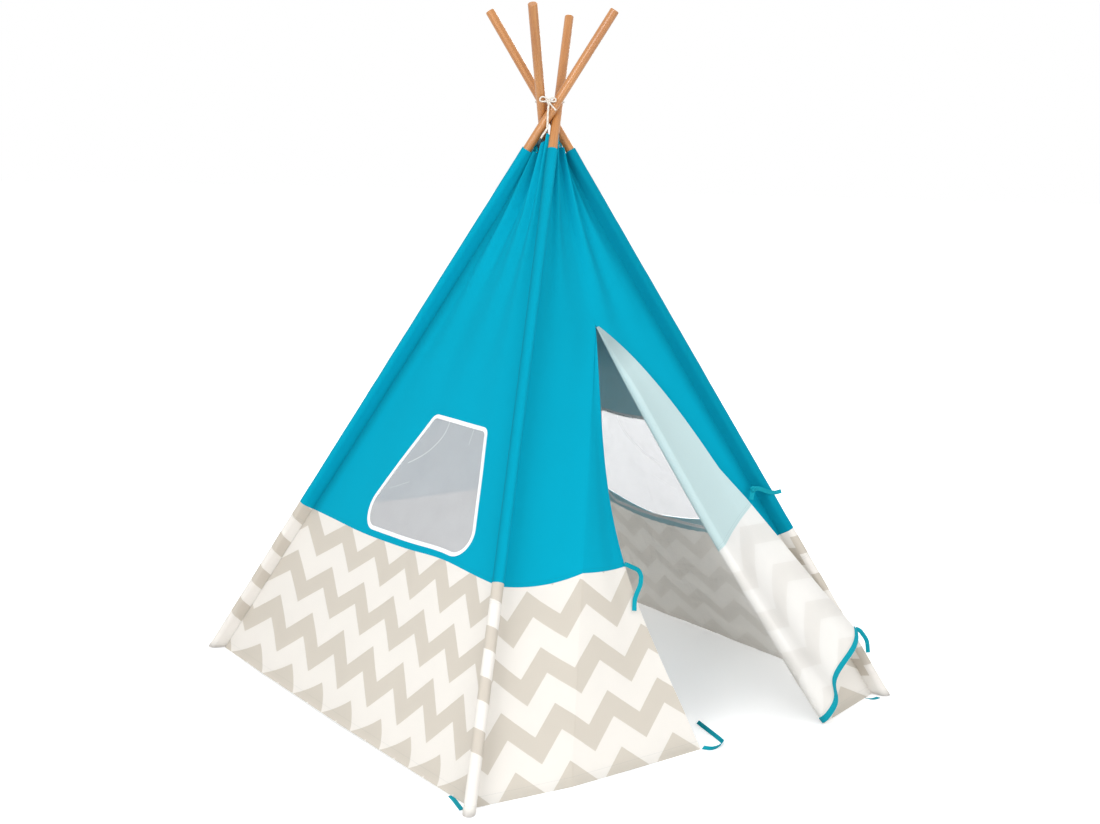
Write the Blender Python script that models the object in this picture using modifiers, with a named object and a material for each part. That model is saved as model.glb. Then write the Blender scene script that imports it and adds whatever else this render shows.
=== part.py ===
"""Kids teepee: four poles lashed near the top and a cover of two fabrics with a parted door.

Metres, +Z up. The floor is z = 0 and the door faces -Y.
"""

import math

import bmesh
import bpy
from mathutils import Matrix, Vector

# Poles
base_width = 1.2
stand_centre_y = 0.02
crossing_height = 1.361
pole_diameter = 0.022
pole_length = 1.888
pole_joint_distance = 0.95
pole_chamfer = 0.0012
ferrule_length = 0.08
ferrule_wall = 0.001
contact_gap = 0.0003

# Lashing
rope_diameter = 0.005
rope_hole_diameter = 0.0068
rope_rise = 0.033
knot_radius = 0.0065
bow_reach = 0.019
long_tail_drop = 0.085
short_tail_reach = 0.015

# Cover
cloth_thickness = 0.0012
sleeve_reach = 0.026
sleeve_top_reach = 0.02
sleeve_tip_radius = 0.002
sleeve_taper_length = 0.145
cover_top_drop = 0.088
top_peak = 0.045
seam_height = 0.383
hem_clearance = 0.0006
fold_start_height = 0.85
fold_depth = 0.006
wall_fold_count = 2
left_wall_bulge = 0.004
left_hem_flare = 0.015
right_wall_bulge = -0.028
back_wall_bulge = -0.006
right_seam_droop = 0.045
left_seam_droop = 0.004
back_seam_droop = 0.006
door_seam_droop = 0.012

# Windows
window_rise = 0.014
window_height = 0.275
window_bottom_width = 0.5
window_top_width = 0.214
window_bottom_round = 0.05
window_top_round = 0.025
left_window_shift = 0.048
left_window_lean = 0.022
binding_width = 0.0085
binding_thickness = 0.0024
net_thickness = 0.001

# Door
slit_height = 0.894
flap_top_drop = 0.015
door_opening_share = 0.355 / 0.6
right_hinge_out = 0.070
right_hinge_shift = 0.017
left_hinge_out = 0.028
left_edge_bow = 0.066
right_edge_bow = 0.025
right_edge_top_bow = 0.025
left_flap_sag = 0.03
flap_lay_clearance = 0.012
flap_hem_wave = 0.0432
flap_hem_lift = 0.01
flap_hem_gather_share = 0.28
tape_width = 0.012
tape_thickness = 0.0016

# Ribbon ties
ribbon_width = 0.01
ribbon_thickness = 0.0012
tie_knot_radius = 0.009

# Facets
pole_sides = 24
sleeve_sides = 16
sleeve_taper_steps = 3
rope_ring_points = 6

half_base = base_width / 2
foot_radius = half_base * math.sqrt(2)
pole_radius = pole_diameter / 2
cover_top = crossing_height - cover_top_drop
sleeve_taper_height = cover_top - sleeve_taper_length
hinge_hem_half_width = half_base * door_opening_share
window_bottom = seam_height + window_rise
window_top = window_bottom + window_height
rope_radius = rope_diameter / 2
half_cloth = cloth_thickness / 2
sleeve_radius = (pole_radius + contact_gap + cloth_thickness) / math.cos(math.pi / sleeve_sides)
lean = math.atan2(foot_radius, crossing_height)
wall_slope = math.atan2(half_base, crossing_height)

# The poles pass each other one diameter apart, each to the right of the middle
pole_offset = (pole_diameter + contact_gap) * math.sqrt(1 + math.cos(lean) ** 2) / (2 * math.cos(lean))

WOOD = ("wood", (0.62, 0.30, 0.11), 0.35, 0.0)
STEEL = ("ferrule_steel", (0.60, 0.60, 0.58), 0.35, 1.0)
TURQUOISE = ("turquoise_cotton", (0.005, 0.40, 0.58), 0.85, 0.0)
PRINT = ("printed_cotton", (0.78, 0.74, 0.66), 0.85, 0.0)
WHITE = ("white_binding", (0.86, 0.87, 0.88), 0.8, 0.0)
NET = ("window_net", (0.55, 0.58, 0.61), 0.7, 0.0)
ROPE = ("cotton_rope", (0.88, 0.84, 0.76), 0.9, 0.0)
RIBBON = ("turquoise_ribbon", (0.01, 0.34, 0.45), 0.6, 0.0)


def make_collection(name):
    found = bpy.data.collections.new(name)
    bpy.context.scene.collection.children.link(found)
    return found


for old in list(bpy.data.objects):
    bpy.data.objects.remove(old, do_unlink=True)
teepee = make_collection("kids_teepee")
cutters = make_collection("cutters")


def material(finish):
    name, colour, roughness, metallic = finish
    made = bpy.data.materials.get(name)
    if made is None:
        made = bpy.data.materials.new(name)
        made.use_nodes = True
        shader = made.node_tree.nodes["Principled BSDF"]
        shader.inputs["Base Color"].default_value = (*colour, 1)
        shader.inputs["Roughness"].default_value = roughness
        shader.inputs["Metallic"].default_value = metallic
    return made


def add_object(name, data, finish, collection=teepee):
    made = bpy.data.objects.new(name, data)
    collection.objects.link(made)
    if finish is not None:
        made.data.materials.append(material(finish))
    return made


def mesh_object(name, bm, finish, collection=teepee):
    data = bpy.data.meshes.new(name)
    bm.to_mesh(data)
    bm.free()
    return add_object(name, data, finish, collection)


def make_cutter(target):
    target.hide_render = True
    target.display_type = "WIRE"


def boolean(target, cutter, operation):
    cut = target.modifiers.new(operation.lower(), "BOOLEAN")
    cut.operation = operation
    cut.object = cutter
    cut.solver = "EXACT"


def solidify(target, thickness, offset, even=False):
    shell = target.modifiers.new("thickness", "SOLIDIFY")
    shell.thickness = thickness
    shell.offset = offset
    shell.use_even_offset = even


def baked_mesh(source):
    """The curve's evaluated mesh with its caps welded, as a mesh object in its place."""
    bpy.context.view_layer.update()
    evaluated = source.evaluated_get(bpy.context.evaluated_depsgraph_get())
    data = bpy.data.meshes.new_from_object(evaluated)
    bm = bmesh.new()
    bm.from_mesh(data)
    bmesh.ops.remove_doubles(bm, verts=bm.verts, dist=contact_gap / 10)
    bmesh.ops.recalc_face_normals(bm, faces=bm.faces)
    bm.to_mesh(data)
    bm.free()
    name, place, home = source.name, source.matrix_world.copy(), source.users_collection[0]
    bpy.data.objects.remove(source)
    made = bpy.data.objects.new(name, data)
    home.objects.link(made)
    made.matrix_world = place
    return made


# Corners, each with its pole's line and the stitch line at the inner edge of its sleeve
class Corner:
    def __init__(self, name, side_x, side_y):
        self.name = name
        self.radial = Vector((side_x, side_y, 0)).normalized()
        self.tangent = Vector((-self.radial.y, self.radial.x, 0))
        centre = Vector((0, stand_centre_y, 0))
        self.foot = centre + self.radial * foot_radius
        self.crossing = centre + self.tangent * pole_offset + Vector((0, 0, crossing_height))
        self.along = (self.crossing - self.foot).normalized()
        flat = -self.radial
        self.inward = (flat - self.along * flat.dot(self.along)).normalized()
        self.side = self.along.cross(self.inward)
        self.crossing_distance = (self.crossing - self.foot).length

    def matrix(self, distance):
        rows = Matrix((self.inward, self.side, self.along)).transposed().to_4x4()
        return Matrix.Translation(self.foot + self.along * distance) @ rows

    def stitch(self, distance, reach):
        return self.foot + self.along * distance + self.inward * (reach - sleeve_tip_radius)

    def distance_at(self, height, reach):
        drop = self.inward.z * (reach - sleeve_tip_radius)
        return (height - drop) / self.along.z

    def stitch_at(self, height):
        """The stitch line's point at a height: straight, then drawn in above the taper."""
        foot_end = self.stitch(self.distance_at(0, sleeve_reach), sleeve_reach)
        taper = self.stitch(self.distance_at(sleeve_taper_height, sleeve_reach), sleeve_reach)
        top = self.stitch(self.distance_at(cover_top, sleeve_top_reach), sleeve_top_reach)
        if height <= sleeve_taper_height:
            return foot_end.lerp(taper, height / taper.z)
        return taper.lerp(top, (height - taper.z) / (top.z - taper.z))


front_left = Corner("front_left", -1, -1)
front_right = Corner("front_right", 1, -1)
back_right = Corner("back_right", 1, 1)
back_left = Corner("back_left", -1, 1)
corners = (front_left, front_right, back_right, back_left)


# Poles: two turned lengths, each stepped down inside a ferrule that is flush with the wood
def turned(name, profile, finish, sides=pole_sides):
    bm = bmesh.new()
    ring = [bm.verts.new((radius, 0, height)) for radius, height in profile]
    for upper, lower in zip(ring, ring[1:]):
        bm.edges.new((upper, lower))
    made = mesh_object(name, bm, finish)
    screw = made.modifiers.new("turn", "SCREW")
    screw.steps = sides
    screw.render_steps = sides
    screw.use_merge_vertices = True
    screw.merge_threshold = contact_gap / 10
    return made


spigot_radius = pole_radius - ferrule_wall - contact_gap
spigot_length = ferrule_length / 2
pole_foot_distance = (pole_radius * math.sin(lean) + cloth_thickness + contact_gap) / math.cos(lean)


def pole_lower(corner):
    length = pole_joint_distance - pole_foot_distance
    shoulder = length - spigot_length
    profile = (
        (0, length),
        (spigot_radius, length),
        (spigot_radius, shoulder),
        (pole_radius, shoulder),
        (pole_radius, pole_chamfer),
        (pole_radius - pole_chamfer, 0),
        (0, 0),
    )
    made = turned(f"pole_lower_{corner.name}", profile, WOOD)
    made.matrix_world = corner.matrix(pole_foot_distance)


def rope_hole_frame(corner):
    """The hole's middle, and the level direction that the rope takes through it."""
    middle = corner.foot + corner.along * ((crossing_height + rope_rise) / corner.along.z)
    outward = Vector((middle.x, middle.y - stand_centre_y, 0))
    return middle, Vector((-outward.y, outward.x, 0)).normalized(), outward.length


def pole_upper(corner):
    length = pole_length - pole_joint_distance - contact_gap
    profile = (
        (0, length),
        (pole_radius - pole_chamfer, length),
        (pole_radius, length - pole_chamfer),
        (pole_radius, spigot_length),
        (spigot_radius, spigot_length),
        (spigot_radius, 0),
        (0, 0),
    )
    made = turned(f"pole_upper_{corner.name}", profile, WOOD)
    made.matrix_world = corner.matrix(pole_joint_distance + contact_gap)
    middle, direction, _ = rope_hole_frame(corner)
    bm = bmesh.new()
    hole_radius = rope_hole_diameter / 2
    bmesh.ops.create_cone(
        bm, cap_ends=True, segments=pole_sides // 2, radius1=hole_radius, radius2=hole_radius,
        depth=pole_diameter * 2,
    )
    cutter = mesh_object(f"rope_hole_{corner.name}", bm, None, cutters)
    cutter.matrix_world = Matrix.Translation(middle) @ direction.to_track_quat("Z", "Y").to_matrix().to_4x4()
    make_cutter(cutter)
    boolean(made, cutter, "DIFFERENCE")


def ferrule(corner):
    outer, inner = pole_radius, pole_radius - ferrule_wall
    length = ferrule_length - contact_gap
    profile = ((outer, length), (outer, 0), (inner, 0), (inner, length), (outer, length))
    made = turned(f"pole_ferrule_{corner.name}", profile, STEEL)
    made.matrix_world = corner.matrix(pole_joint_distance - spigot_length + contact_gap)


for corner in corners:
    pole_lower(corner)
    pole_upper(corner)
    ferrule(corner)


# Corner sleeves: round the pole outside, drawn in to the stitch line on the tent's side
def teardrop(reach):
    """Section points as (inward, sideways): the pole's arc, then the small arc at the stitch."""
    tip_centre = reach - sleeve_tip_radius
    spread = max(-1, min(1, (sleeve_radius - sleeve_tip_radius) / tip_centre))
    tangent_angle = math.acos(spread)
    arc_steps = sleeve_sides - 2
    points = []
    for step in range(arc_steps + 1):
        angle = tangent_angle + (2 * math.pi - 2 * tangent_angle) * step / arc_steps
        points.append((sleeve_radius * math.cos(angle), sleeve_radius * math.sin(angle)))
    for step in range(3):
        angle = -tangent_angle + tangent_angle * step
        x = tip_centre + sleeve_tip_radius * math.cos(angle)
        points.append((x, sleeve_tip_radius * math.sin(angle)))
    return points


def sleeve_ring(bm, corner, distance, reach, floor=None):
    ring = []
    for inward, sideways in teardrop(reach):
        at = corner.foot + corner.inward * inward + corner.side * sideways
        along = distance if floor is None else (floor - at.z) / corner.along.z
        ring.append(bm.verts.new(at + corner.along * along))
    return ring


def sleeve(rings_of, closed_end):
    """A loft through the rings, from the lowest up."""
    bm = bmesh.new()
    rings = rings_of(bm)
    for lower, upper in zip(rings, rings[1:]):
        for index in range(len(lower)):
            bm.faces.new((lower[index - 1], lower[index], upper[index], upper[index - 1]))
    if closed_end:
        bm.faces.new(rings[0])
    bmesh.ops.recalc_face_normals(bm, faces=bm.faces)
    return bm


def corner_sleeves(corner):
    seam = corner.distance_at(seam_height, sleeve_reach)
    taper = corner.distance_at(sleeve_taper_height, sleeve_reach)
    top = corner.distance_at(cover_top, sleeve_top_reach)

    def lower_rings(bm):
        return [
            sleeve_ring(bm, corner, 0, sleeve_reach, floor=0),
            sleeve_ring(bm, corner, seam - contact_gap / 2, sleeve_reach),
        ]

    def upper_rings(bm):
        rings = [sleeve_ring(bm, corner, seam + contact_gap / 2, sleeve_reach)]
        for step in range(sleeve_taper_steps + 1):
            share = step / sleeve_taper_steps
            distance = taper + (top - taper) * share
            reach = sleeve_reach + (sleeve_top_reach - sleeve_reach) * share
            rings.append(sleeve_ring(bm, corner, distance, reach))
        return rings

    lower = mesh_object(f"sleeve_lower_{corner.name}", sleeve(lower_rings, True), PRINT)
    upper = mesh_object(f"sleeve_upper_{corner.name}", sleeve(upper_rings, False), TURQUOISE)
    for made in (lower, upper):
        solidify(made, cloth_thickness, -1, even=True)


for corner in corners:
    corner_sleeves(corner)


# Walls: sheets stretched between two stitch lines
edge_inset = sleeve_tip_radius + contact_gap + half_cloth
front_out = Vector((0, -math.cos(wall_slope), math.sin(wall_slope)))


def hump(share):
    return 4 * share * (1 - share)


def drape(height):
    """How far up a wall takes part in a sag: none at the hem and the top, most between."""
    return math.sin(math.pi * max(0, min(1, height / cover_top)))


def droop_at(height):
    if height < seam_height:
        return height / seam_height
    return (cover_top - height) / (cover_top - seam_height)


class Wall:
    def __init__(self, name, start, end, bulge, droop, flare=0):
        self.name = name
        self.start, self.end, self.bulge, self.droop, self.flare = start, end, bulge, droop, flare
        across = (end.foot - start.foot).normalized()
        self.across = across
        level = Vector((across.y, -across.x, 0))
        self.out = level * math.cos(wall_slope) + Vector((0, 0, math.sin(wall_slope)))

    def edges(self, height):
        a, b = self.start.stitch_at(height), self.end.stitch_at(height)
        inset = (b - a).normalized() * edge_inset
        return a + inset, b - inset

    def point(self, share, height):
        a, b = self.edges(height)
        gathered = max(0, (height - fold_start_height) / (cover_top - fold_start_height))
        ripple = math.sin(2 * math.pi * wall_fold_count * share)
        folds = fold_depth * gathered**1.5 * ripple * hump(share) ** 2
        peaked = max(0, (height - sleeve_taper_height) / (cover_top - sleeve_taper_height))
        lift = top_peak * peaked * hump(share) ** 2 - self.droop * droop_at(height) * hump(share)
        flared = self.flare * max(0, 1 - height / seam_height) * hump(share)
        push = self.bulge * hump(share) * drape(height) + folds + flared
        return a.lerp(b, share) + self.out * push + Vector((0, 0, lift))


def ladder(stops, counts):
    """Row heights from stop to stop, with the given number of rows between each two."""
    heights = [stops[0]]
    for low, high, count in zip(stops, stops[1:], counts):
        heights += [low + (high - low) * (step + 1) / count for step in range(count)]
    return heights


def sheet(name, place, heights, columns, finish, thickness=cloth_thickness):
    rows = len(heights) - 1
    bm = bmesh.new()
    bmesh.ops.create_grid(bm, x_segments=columns, y_segments=rows, size=1)
    for vert in bm.verts:
        share = (vert.co.x + 1) / 2
        row = round((vert.co.y + 1) / 2 * rows)
        vert.co = place(share, heights[row])
    made = mesh_object(name, bm, finish)
    solidify(made, thickness, 0)
    return made


left_wall = Wall("left", back_left, front_left, left_wall_bulge, left_seam_droop, left_hem_flare)
right_wall = Wall("right", front_right, back_right, right_wall_bulge, right_seam_droop)
back_wall = Wall("back", back_right, back_left, back_wall_bulge, back_seam_droop)
door_wall = Wall("door", front_left, front_right, 0, door_seam_droop)

hem_band_height = hem_clearance * 3 + tape_width
lower_rows = ladder((hem_clearance, hem_band_height, seam_height - contact_gap / 2), (1, 5))
upper_rows = ladder((seam_height + contact_gap / 2, sleeve_taper_height, cover_top), (9, 4))
wall_columns = 12

wall_sheets = {}
for wall in (left_wall, right_wall, back_wall):
    lower_name, upper_name = f"wall_{wall.name}_lower", f"wall_{wall.name}_upper"
    sheet(lower_name, wall.point, lower_rows, wall_columns, PRINT)
    wall_sheets[wall.name] = sheet(upper_name, wall.point, upper_rows, wall_columns, TURQUOISE)


# Windows: a rounded opening, a binding round its edge and a net inside the binding
def inset_corners(points, inset):
    moved = []
    count = len(points)
    for index in range(count):
        before, here, after = points[index - 1], points[index], points[(index + 1) % count]
        into, out_of = (here - before).normalized(), (after - here).normalized()
        bisector = Vector((-into.y - out_of.y, into.x + out_of.x)).normalized()
        moved.append(here + bisector * (inset / bisector.dot(Vector((-into.y, into.x)))))
    return moved


def rounded(points, radii, steps=6):
    outline = []
    count = len(points)
    for index in range(count):
        before, here, after = points[index - 1], points[index], points[(index + 1) % count]
        back, ahead = (before - here).normalized(), (after - here).normalized()
        half_angle = back.angle(ahead) / 2
        run = radii[index] / math.tan(half_angle)
        middle = here + (back + ahead).normalized() * (radii[index] / math.sin(half_angle))
        first = here + back * run - middle
        turn = math.pi - 2 * half_angle
        for step in range(steps + 1):
            angle = turn * step / steps
            spun = Vector((first.x * math.cos(angle) - first.y * math.sin(angle),
                           first.x * math.sin(angle) + first.y * math.cos(angle)))
            outline.append(middle + spun)
    return outline


window_radii = (window_bottom_round, window_bottom_round, window_top_round, window_top_round)


def window_outline(inset):
    """Seen from outside: x to the right of the window's middle, y is the height."""
    lower, upper = window_bottom_width / 2, window_top_width / 2
    points = [
        Vector((-lower, window_bottom)),
        Vector((lower, window_bottom)),
        Vector((upper, window_top)),
        Vector((-upper, window_top)),
    ]
    return rounded(inset_corners(points, inset), [radius - inset for radius in window_radii])


def window_frame(wall):
    """The window's lower middle, and its upward direction on the hanging wall."""
    lower = wall.point(1 / 2, window_bottom) + wall.across * window_shift[wall.name]
    upper = wall.point(1 / 2, window_top)
    upper += wall.across * (window_shift[wall.name] + window_lean[wall.name])
    return lower, (upper - lower) / (window_top - window_bottom)


def window_prism(wall, label, insets):
    """A bar of the window's section that passes through the wall along its normal."""
    flat = bpy.data.curves.new(f"{label}_{wall.name}", "CURVE")
    flat.dimensions = "2D"
    flat.fill_mode = "BOTH"
    flat.extrude = sleeve_reach * 4
    for inset in insets:
        outline = window_outline(inset)
        line = flat.splines.new("POLY")
        line.points.add(len(outline) - 1)
        for point, at in zip(line.points, outline):
            point.co = (at.x, at.y - window_bottom, 0, 1)
        line.use_cyclic_u = True
    made = add_object(f"{label}_{wall.name}", flat, None, cutters)
    middle, up = window_frame(wall)
    made = baked_mesh(made)
    made.data.transform(Matrix((wall.across, up, wall.out)).transposed().to_4x4())
    made.location = middle
    make_cutter(made)
    return made


def window_patch(wall, name, finish, thickness):
    """A piece of cloth on the wall's own surface, a little larger than the window."""
    margin = binding_width * 2
    reach_share = (window_bottom_width / 2 + margin) / (base_width * (1 - window_bottom / crossing_height))

    shift_share = window_shift[wall.name] / (base_width * (1 - window_bottom / crossing_height))

    def place(share, height):
        narrowing = (1 - window_bottom / crossing_height) / (1 - height / crossing_height)
        return wall.point(1 / 2 + (shift_share + (2 * share - 1) * reach_share) * narrowing, height)

    rows = ladder((window_bottom - margin, window_top + margin), (6,))
    return sheet(name, place, rows, 10, finish, thickness)


window_shift = {"left": left_window_shift, "right": 0}
window_lean = {"left": left_window_lean, "right": 0}


def window(wall):
    binding_inset = contact_gap
    net_inset = binding_inset + binding_width + contact_gap
    boolean(wall_sheets[wall.name], window_prism(wall, "window_hole", (0,)), "DIFFERENCE")
    binding = window_patch(wall, f"window_binding_{wall.name}", WHITE, binding_thickness)
    ring = window_prism(wall, "binding_ring", (binding_inset, binding_inset + binding_width))
    boolean(binding, ring, "INTERSECT")
    net = window_patch(wall, f"window_net_{wall.name}", NET, net_thickness)
    boolean(net, window_prism(wall, "net_field", (net_inset,)), "INTERSECT")


window(left_wall)
window(right_wall)


# Door: a fixed half at each pole, and a flap from each fold line to the parting
slit_top = door_wall.point(1 / 2, slit_height)
door_hem_y = stand_centre_y - half_base + (half_base - abs(front_left.stitch_at(0).x))


def hinge_foot(x, out):
    return Vector((x, door_hem_y - out, hem_clearance))


def hinge_at(foot, height):
    return foot.lerp(slit_top, (height - foot.z) / (slit_top.z - foot.z))


left_foot = hinge_foot(-hinge_hem_half_width, left_hinge_out)
right_foot = hinge_foot(hinge_hem_half_width - right_hinge_shift, right_hinge_out)
seam_gap = contact_gap * 3


def parting(height):
    """The middle of the door wall above the slit."""
    return door_wall.point(1 / 2, height)


def door_half(side):
    foot = left_foot if side < 0 else right_foot

    def place(share, height):
        outer = door_wall.edges(height)[0 if side < 0 else 1]
        inner = hinge_at(foot, height)
        if height >= slit_height:
            inset_share = seam_gap / 2 / (outer - parting(height)).length
            half_share = (inset_share + (1 - inset_share) * share) / 2
            return door_wall.point(1 / 2 + side * half_share, height)
        toward = (outer - inner).normalized()
        fall = door_seam_droop * droop_at(height) * hump(share)
        return (inner + toward * seam_gap / 2).lerp(outer, share) - Vector((0, 0, fall))

    return place


half_columns = 6
slit_rows = ladder(
    (seam_height + contact_gap / 2, slit_height, sleeve_taper_height, cover_top), (6, 4, 4)
)
for side, name in ((-1, "left"), (1, "right")):
    sheet(f"door_{name}_lower", door_half(side), lower_rows, half_columns, PRINT)
    sheet(f"door_{name}_upper", door_half(side), slit_rows, half_columns, TURQUOISE)


def free_edge_x(side, height):
    fallen_share = 1 - height / slit_top.z
    if side < 0:
        bow = -left_edge_bow * math.sin(math.pi * fallen_share)
    else:
        bow = right_edge_bow * math.sin(math.pi * fallen_share**edge_bow_power)
        bow -= right_edge_top_bow * math.sin(math.pi * min(1, fallen_share / edge_top_bow_share))
    return slit_top.x * (1 - fallen_share) + bow


edge_bow_power = 1.4
edge_top_bow_share = 0.45


def closed_flap_point(side, share, height, foot, out):
    """A point of the hanging flap: 0 on the fold line, 1 on the free edge."""
    hinge = hinge_at(foot, height)
    fallen_share = 1 - height / slit_top.z
    edge_out = out * fallen_share
    level = slit_top.y + (door_hem_y - slit_top.y) * fallen_share
    edge = Vector((free_edge_x(side, height) + side * seam_gap / 2, level - edge_out, height))
    toward = (edge - hinge).normalized()
    return (hinge + toward * seam_gap / 2).lerp(edge, share)


flap_top_height = slit_top.z - flap_top_drop
flap_rows_upper = ladder((seam_height + contact_gap / 2, flap_top_height), (7,))
flap_columns = 8
folded_flap_columns = 20


def left_flap_point(share, height):
    at = closed_flap_point(-1, share, height, left_foot, left_hinge_out)
    sag = left_flap_sag * share**2 * math.sin(math.pi * height / slit_top.z) ** 2
    droop = door_seam_droop / 3 * droop_at(height) * hump(share)
    return at - front_out * sag - Vector((0, 0, droop))


sheet("flap_left_lower", left_flap_point, lower_rows, flap_columns, PRINT)
sheet("flap_left_upper", left_flap_point, flap_rows_upper, flap_columns, TURQUOISE)

# The right flap is turned outwards on its fold line and lies over the corner sleeve
fold_line = (slit_top - right_foot).normalized()
lay_height = seam_height * 2 / 3
lay_distance = lay_height / front_right.along.z
lay_target = (
    front_right.foot
    + front_right.along * lay_distance
    + front_out * (sleeve_radius + flap_lay_clearance)
)
lay_direction = lay_target - right_foot
lay_direction = (lay_direction - fold_line * lay_direction.dot(fold_line)).normalized()
lay_out = lay_direction.cross(fold_line)
lay_out = lay_out if lay_out.y < 0 else -lay_out
fold_length = (slit_top - right_foot).length


def right_flap_point(share, height):
    lifted = flap_hem_lift * share * max(0, 1 - height / seam_height)
    flat = closed_flap_point(1, share, height, right_foot, right_hinge_out) + Vector((0, 0, lifted))
    from_foot = flat - right_foot
    along = from_foot.dot(fold_line)
    across = (from_foot - fold_line * along).length
    low = max(0, 1 - along / (fold_length / 2))
    gathered = across * (1 - flap_hem_gather_share * low)
    swell = (math.sin(math.pi * share) + math.sin(3 * math.pi * share)) / 2
    wave = flap_hem_wave * low**1.5 * swell
    rise = cloth_thickness + seam_gap
    return right_foot + fold_line * along + lay_direction * gathered + lay_out * (rise + wave)


sheet("flap_right_lower", right_flap_point, lower_rows, folded_flap_columns, PRINT)
sheet("flap_right_upper", right_flap_point, flap_rows_upper, folded_flap_columns, TURQUOISE)


# Hem tapes: sewn inside the door's hem, a tape's thickness behind the cloth
def behind(surface, share, height, distance):
    """A point off the cloth along its own normal, to the side that faces inwards."""
    step_share = 1 / 50
    start, end = max(0, share - step_share), min(1, share + step_share)
    level = surface(end, height) - surface(start, height)
    rise = surface(share, height + tape_width) - surface(share, height)
    normal = level.cross(rise).normalized()
    return surface(share, height) + normal * distance


def tape(name, surface, behind_side, start_share, end_share, columns=8):
    distance = behind_side * (half_cloth + contact_gap + tape_thickness / 2)

    def place(share, height):
        return behind(surface, start_share + (end_share - start_share) * share, height, distance)

    rows = (hem_clearance * 3, hem_band_height)
    return sheet(name, place, rows, columns, RIBBON, tape_thickness)


end_margin_share = 0.03
tape("tape_door_left", door_half(-1), 1, end_margin_share, 1 - end_margin_share)
tape("tape_door_right", door_half(1), -1, end_margin_share, 1 - end_margin_share)
tape("tape_flap_left", left_flap_point, -1, end_margin_share, 1 - end_margin_share)
tape("tape_flap_right", right_flap_point, 1, 1 / folded_flap_columns, 1, folded_flap_columns - 1)


# Rope: through the four holes on a rounded square, tied in front of the poles
def poly_curve(name, points, diameter, finish, resolution=2):
    line = bpy.data.curves.new(name, "CURVE")
    line.dimensions = "3D"
    line.bevel_depth = diameter / 2
    line.bevel_resolution = resolution
    line.use_fill_caps = True
    spline = line.splines.new("POLY")
    spline.points.add(len(points) - 1)
    for point, at in zip(spline.points, points):
        point.co = (*at, 1)
    return add_object(name, line, finish)


def smooth_route(points, steps=4):
    """A smooth curve through the route's own points."""
    ends = [points[0] * 2 - points[1]] + list(points) + [points[-1] * 2 - points[-2]]
    route = []
    for p0, p1, p2, p3 in zip(ends, ends[1:], ends[2:], ends[3:]):
        for step in range(steps):
            t = step / steps
            route.append(
                (p1 * 2 + (p2 - p0) * t + (p0 * 2 - p1 * 5 + p2 * 4 - p3) * t**2
                 + (p1 * 3 - p0 - p2 * 3 + p3) * t**3) / 2
            )
    return route + [points[-1]]


rope_height = crossing_height + rope_rise
hole_ring = [rope_hole_frame(corner) for corner in corners]
ring_centre = Vector((0, stand_centre_y, rope_height))
side_distance = hole_ring[0][2]
ring_round = side_distance - pole_radius - rope_radius
first_middle = hole_ring[1][0] - ring_centre
hole_angle = math.atan2(first_middle.y, first_middle.x)


def ring_point(quarter):
    """The rounded square's point, counted in quarter turns from the first hole."""
    side = round(quarter)
    lag = quarter - side
    run = side_distance * 2 * lag
    straight = side_distance - ring_round
    turned_by = hole_angle + side * math.pi / 2
    x, y = side_distance, run
    if abs(run) > straight:
        angle = (abs(run) - straight) / ring_round * (math.pi / 4)
        x = straight + ring_round * math.cos(angle)
        y = math.copysign(straight + ring_round * math.sin(angle), run)
    c, s = math.cos(turned_by), math.sin(turned_by)
    return ring_centre + Vector((x * c - y * s, x * s + y * c, 0))


# The knot sits at the ring's corner nearest the door's left side
knot_quarter = min((0.5, 1.5, 2.5, 3.5), key=lambda q: ring_point(q).x + ring_point(q).y)
knot_centre = ring_point(knot_quarter)
knot_share = (knot_radius + contact_gap * 2) / (math.pi / 4) / (side_distance * 2)
ring_steps = 4 * rope_ring_points
ring_route = [
    ring_point(knot_quarter + knot_share + (4 - 2 * knot_share) * step / ring_steps)
    for step in range(ring_steps + 1)
]
poly_curve("lashing_rope", ring_route, rope_diameter, ROPE)

knot_out = Vector((knot_centre.x, knot_centre.y - stand_centre_y, 0)).normalized()
knot_right = Vector((-knot_out.y, knot_out.x, 0))
bm = bmesh.new()
bmesh.ops.create_icosphere(bm, subdivisions=2, radius=1)
knot_shape_shares = (1, 0.85, 0.9)
bmesh.ops.scale(bm, vec=[knot_radius * share for share in knot_shape_shares], verts=bm.verts)
knot = mesh_object("lashing_knot", bm, ROPE)
knot.matrix_world = Matrix.Translation(knot_centre) @ Matrix(
    (knot_right, knot_out, Vector((0, 0, 1)))
).transposed().to_4x4()


def from_knot(right, out, up):
    """Places on the rope stand off further with height, as the poles lean out there."""
    leaning = max(0, up) * math.tan(lean)
    return knot_centre + knot_right * right + knot_out * (out + leaning) + Vector((0, 0, up))


def leaving_knot(right, out, up):
    """Two places in line with the knot's centre: just off its surface, and a little further out."""
    across, deep, tall = knot_shape_shares
    size = math.sqrt(right**2 + out**2 + up**2)
    surface = knot_radius * size / math.sqrt((right / across) ** 2 + (out / deep) ** 2 + (up / tall) ** 2)
    places = []
    for reach in (surface + contact_gap * 2, surface + rope_radius):
        scale = reach / size
        places.append(knot_centre + knot_right * right * scale + knot_out * out * scale
                      + Vector((0, 0, up * scale)))
    return places


bow_diameter = rope_diameter * 0.8
bow_shares = (
    (0.60, 0.24, 0.50), (0.88, 0.26, 0.45), (1.06, 0.32, 0.22), (0.98, 0.38, 0.0), (0.72, 0.36, -0.06)
)


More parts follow.
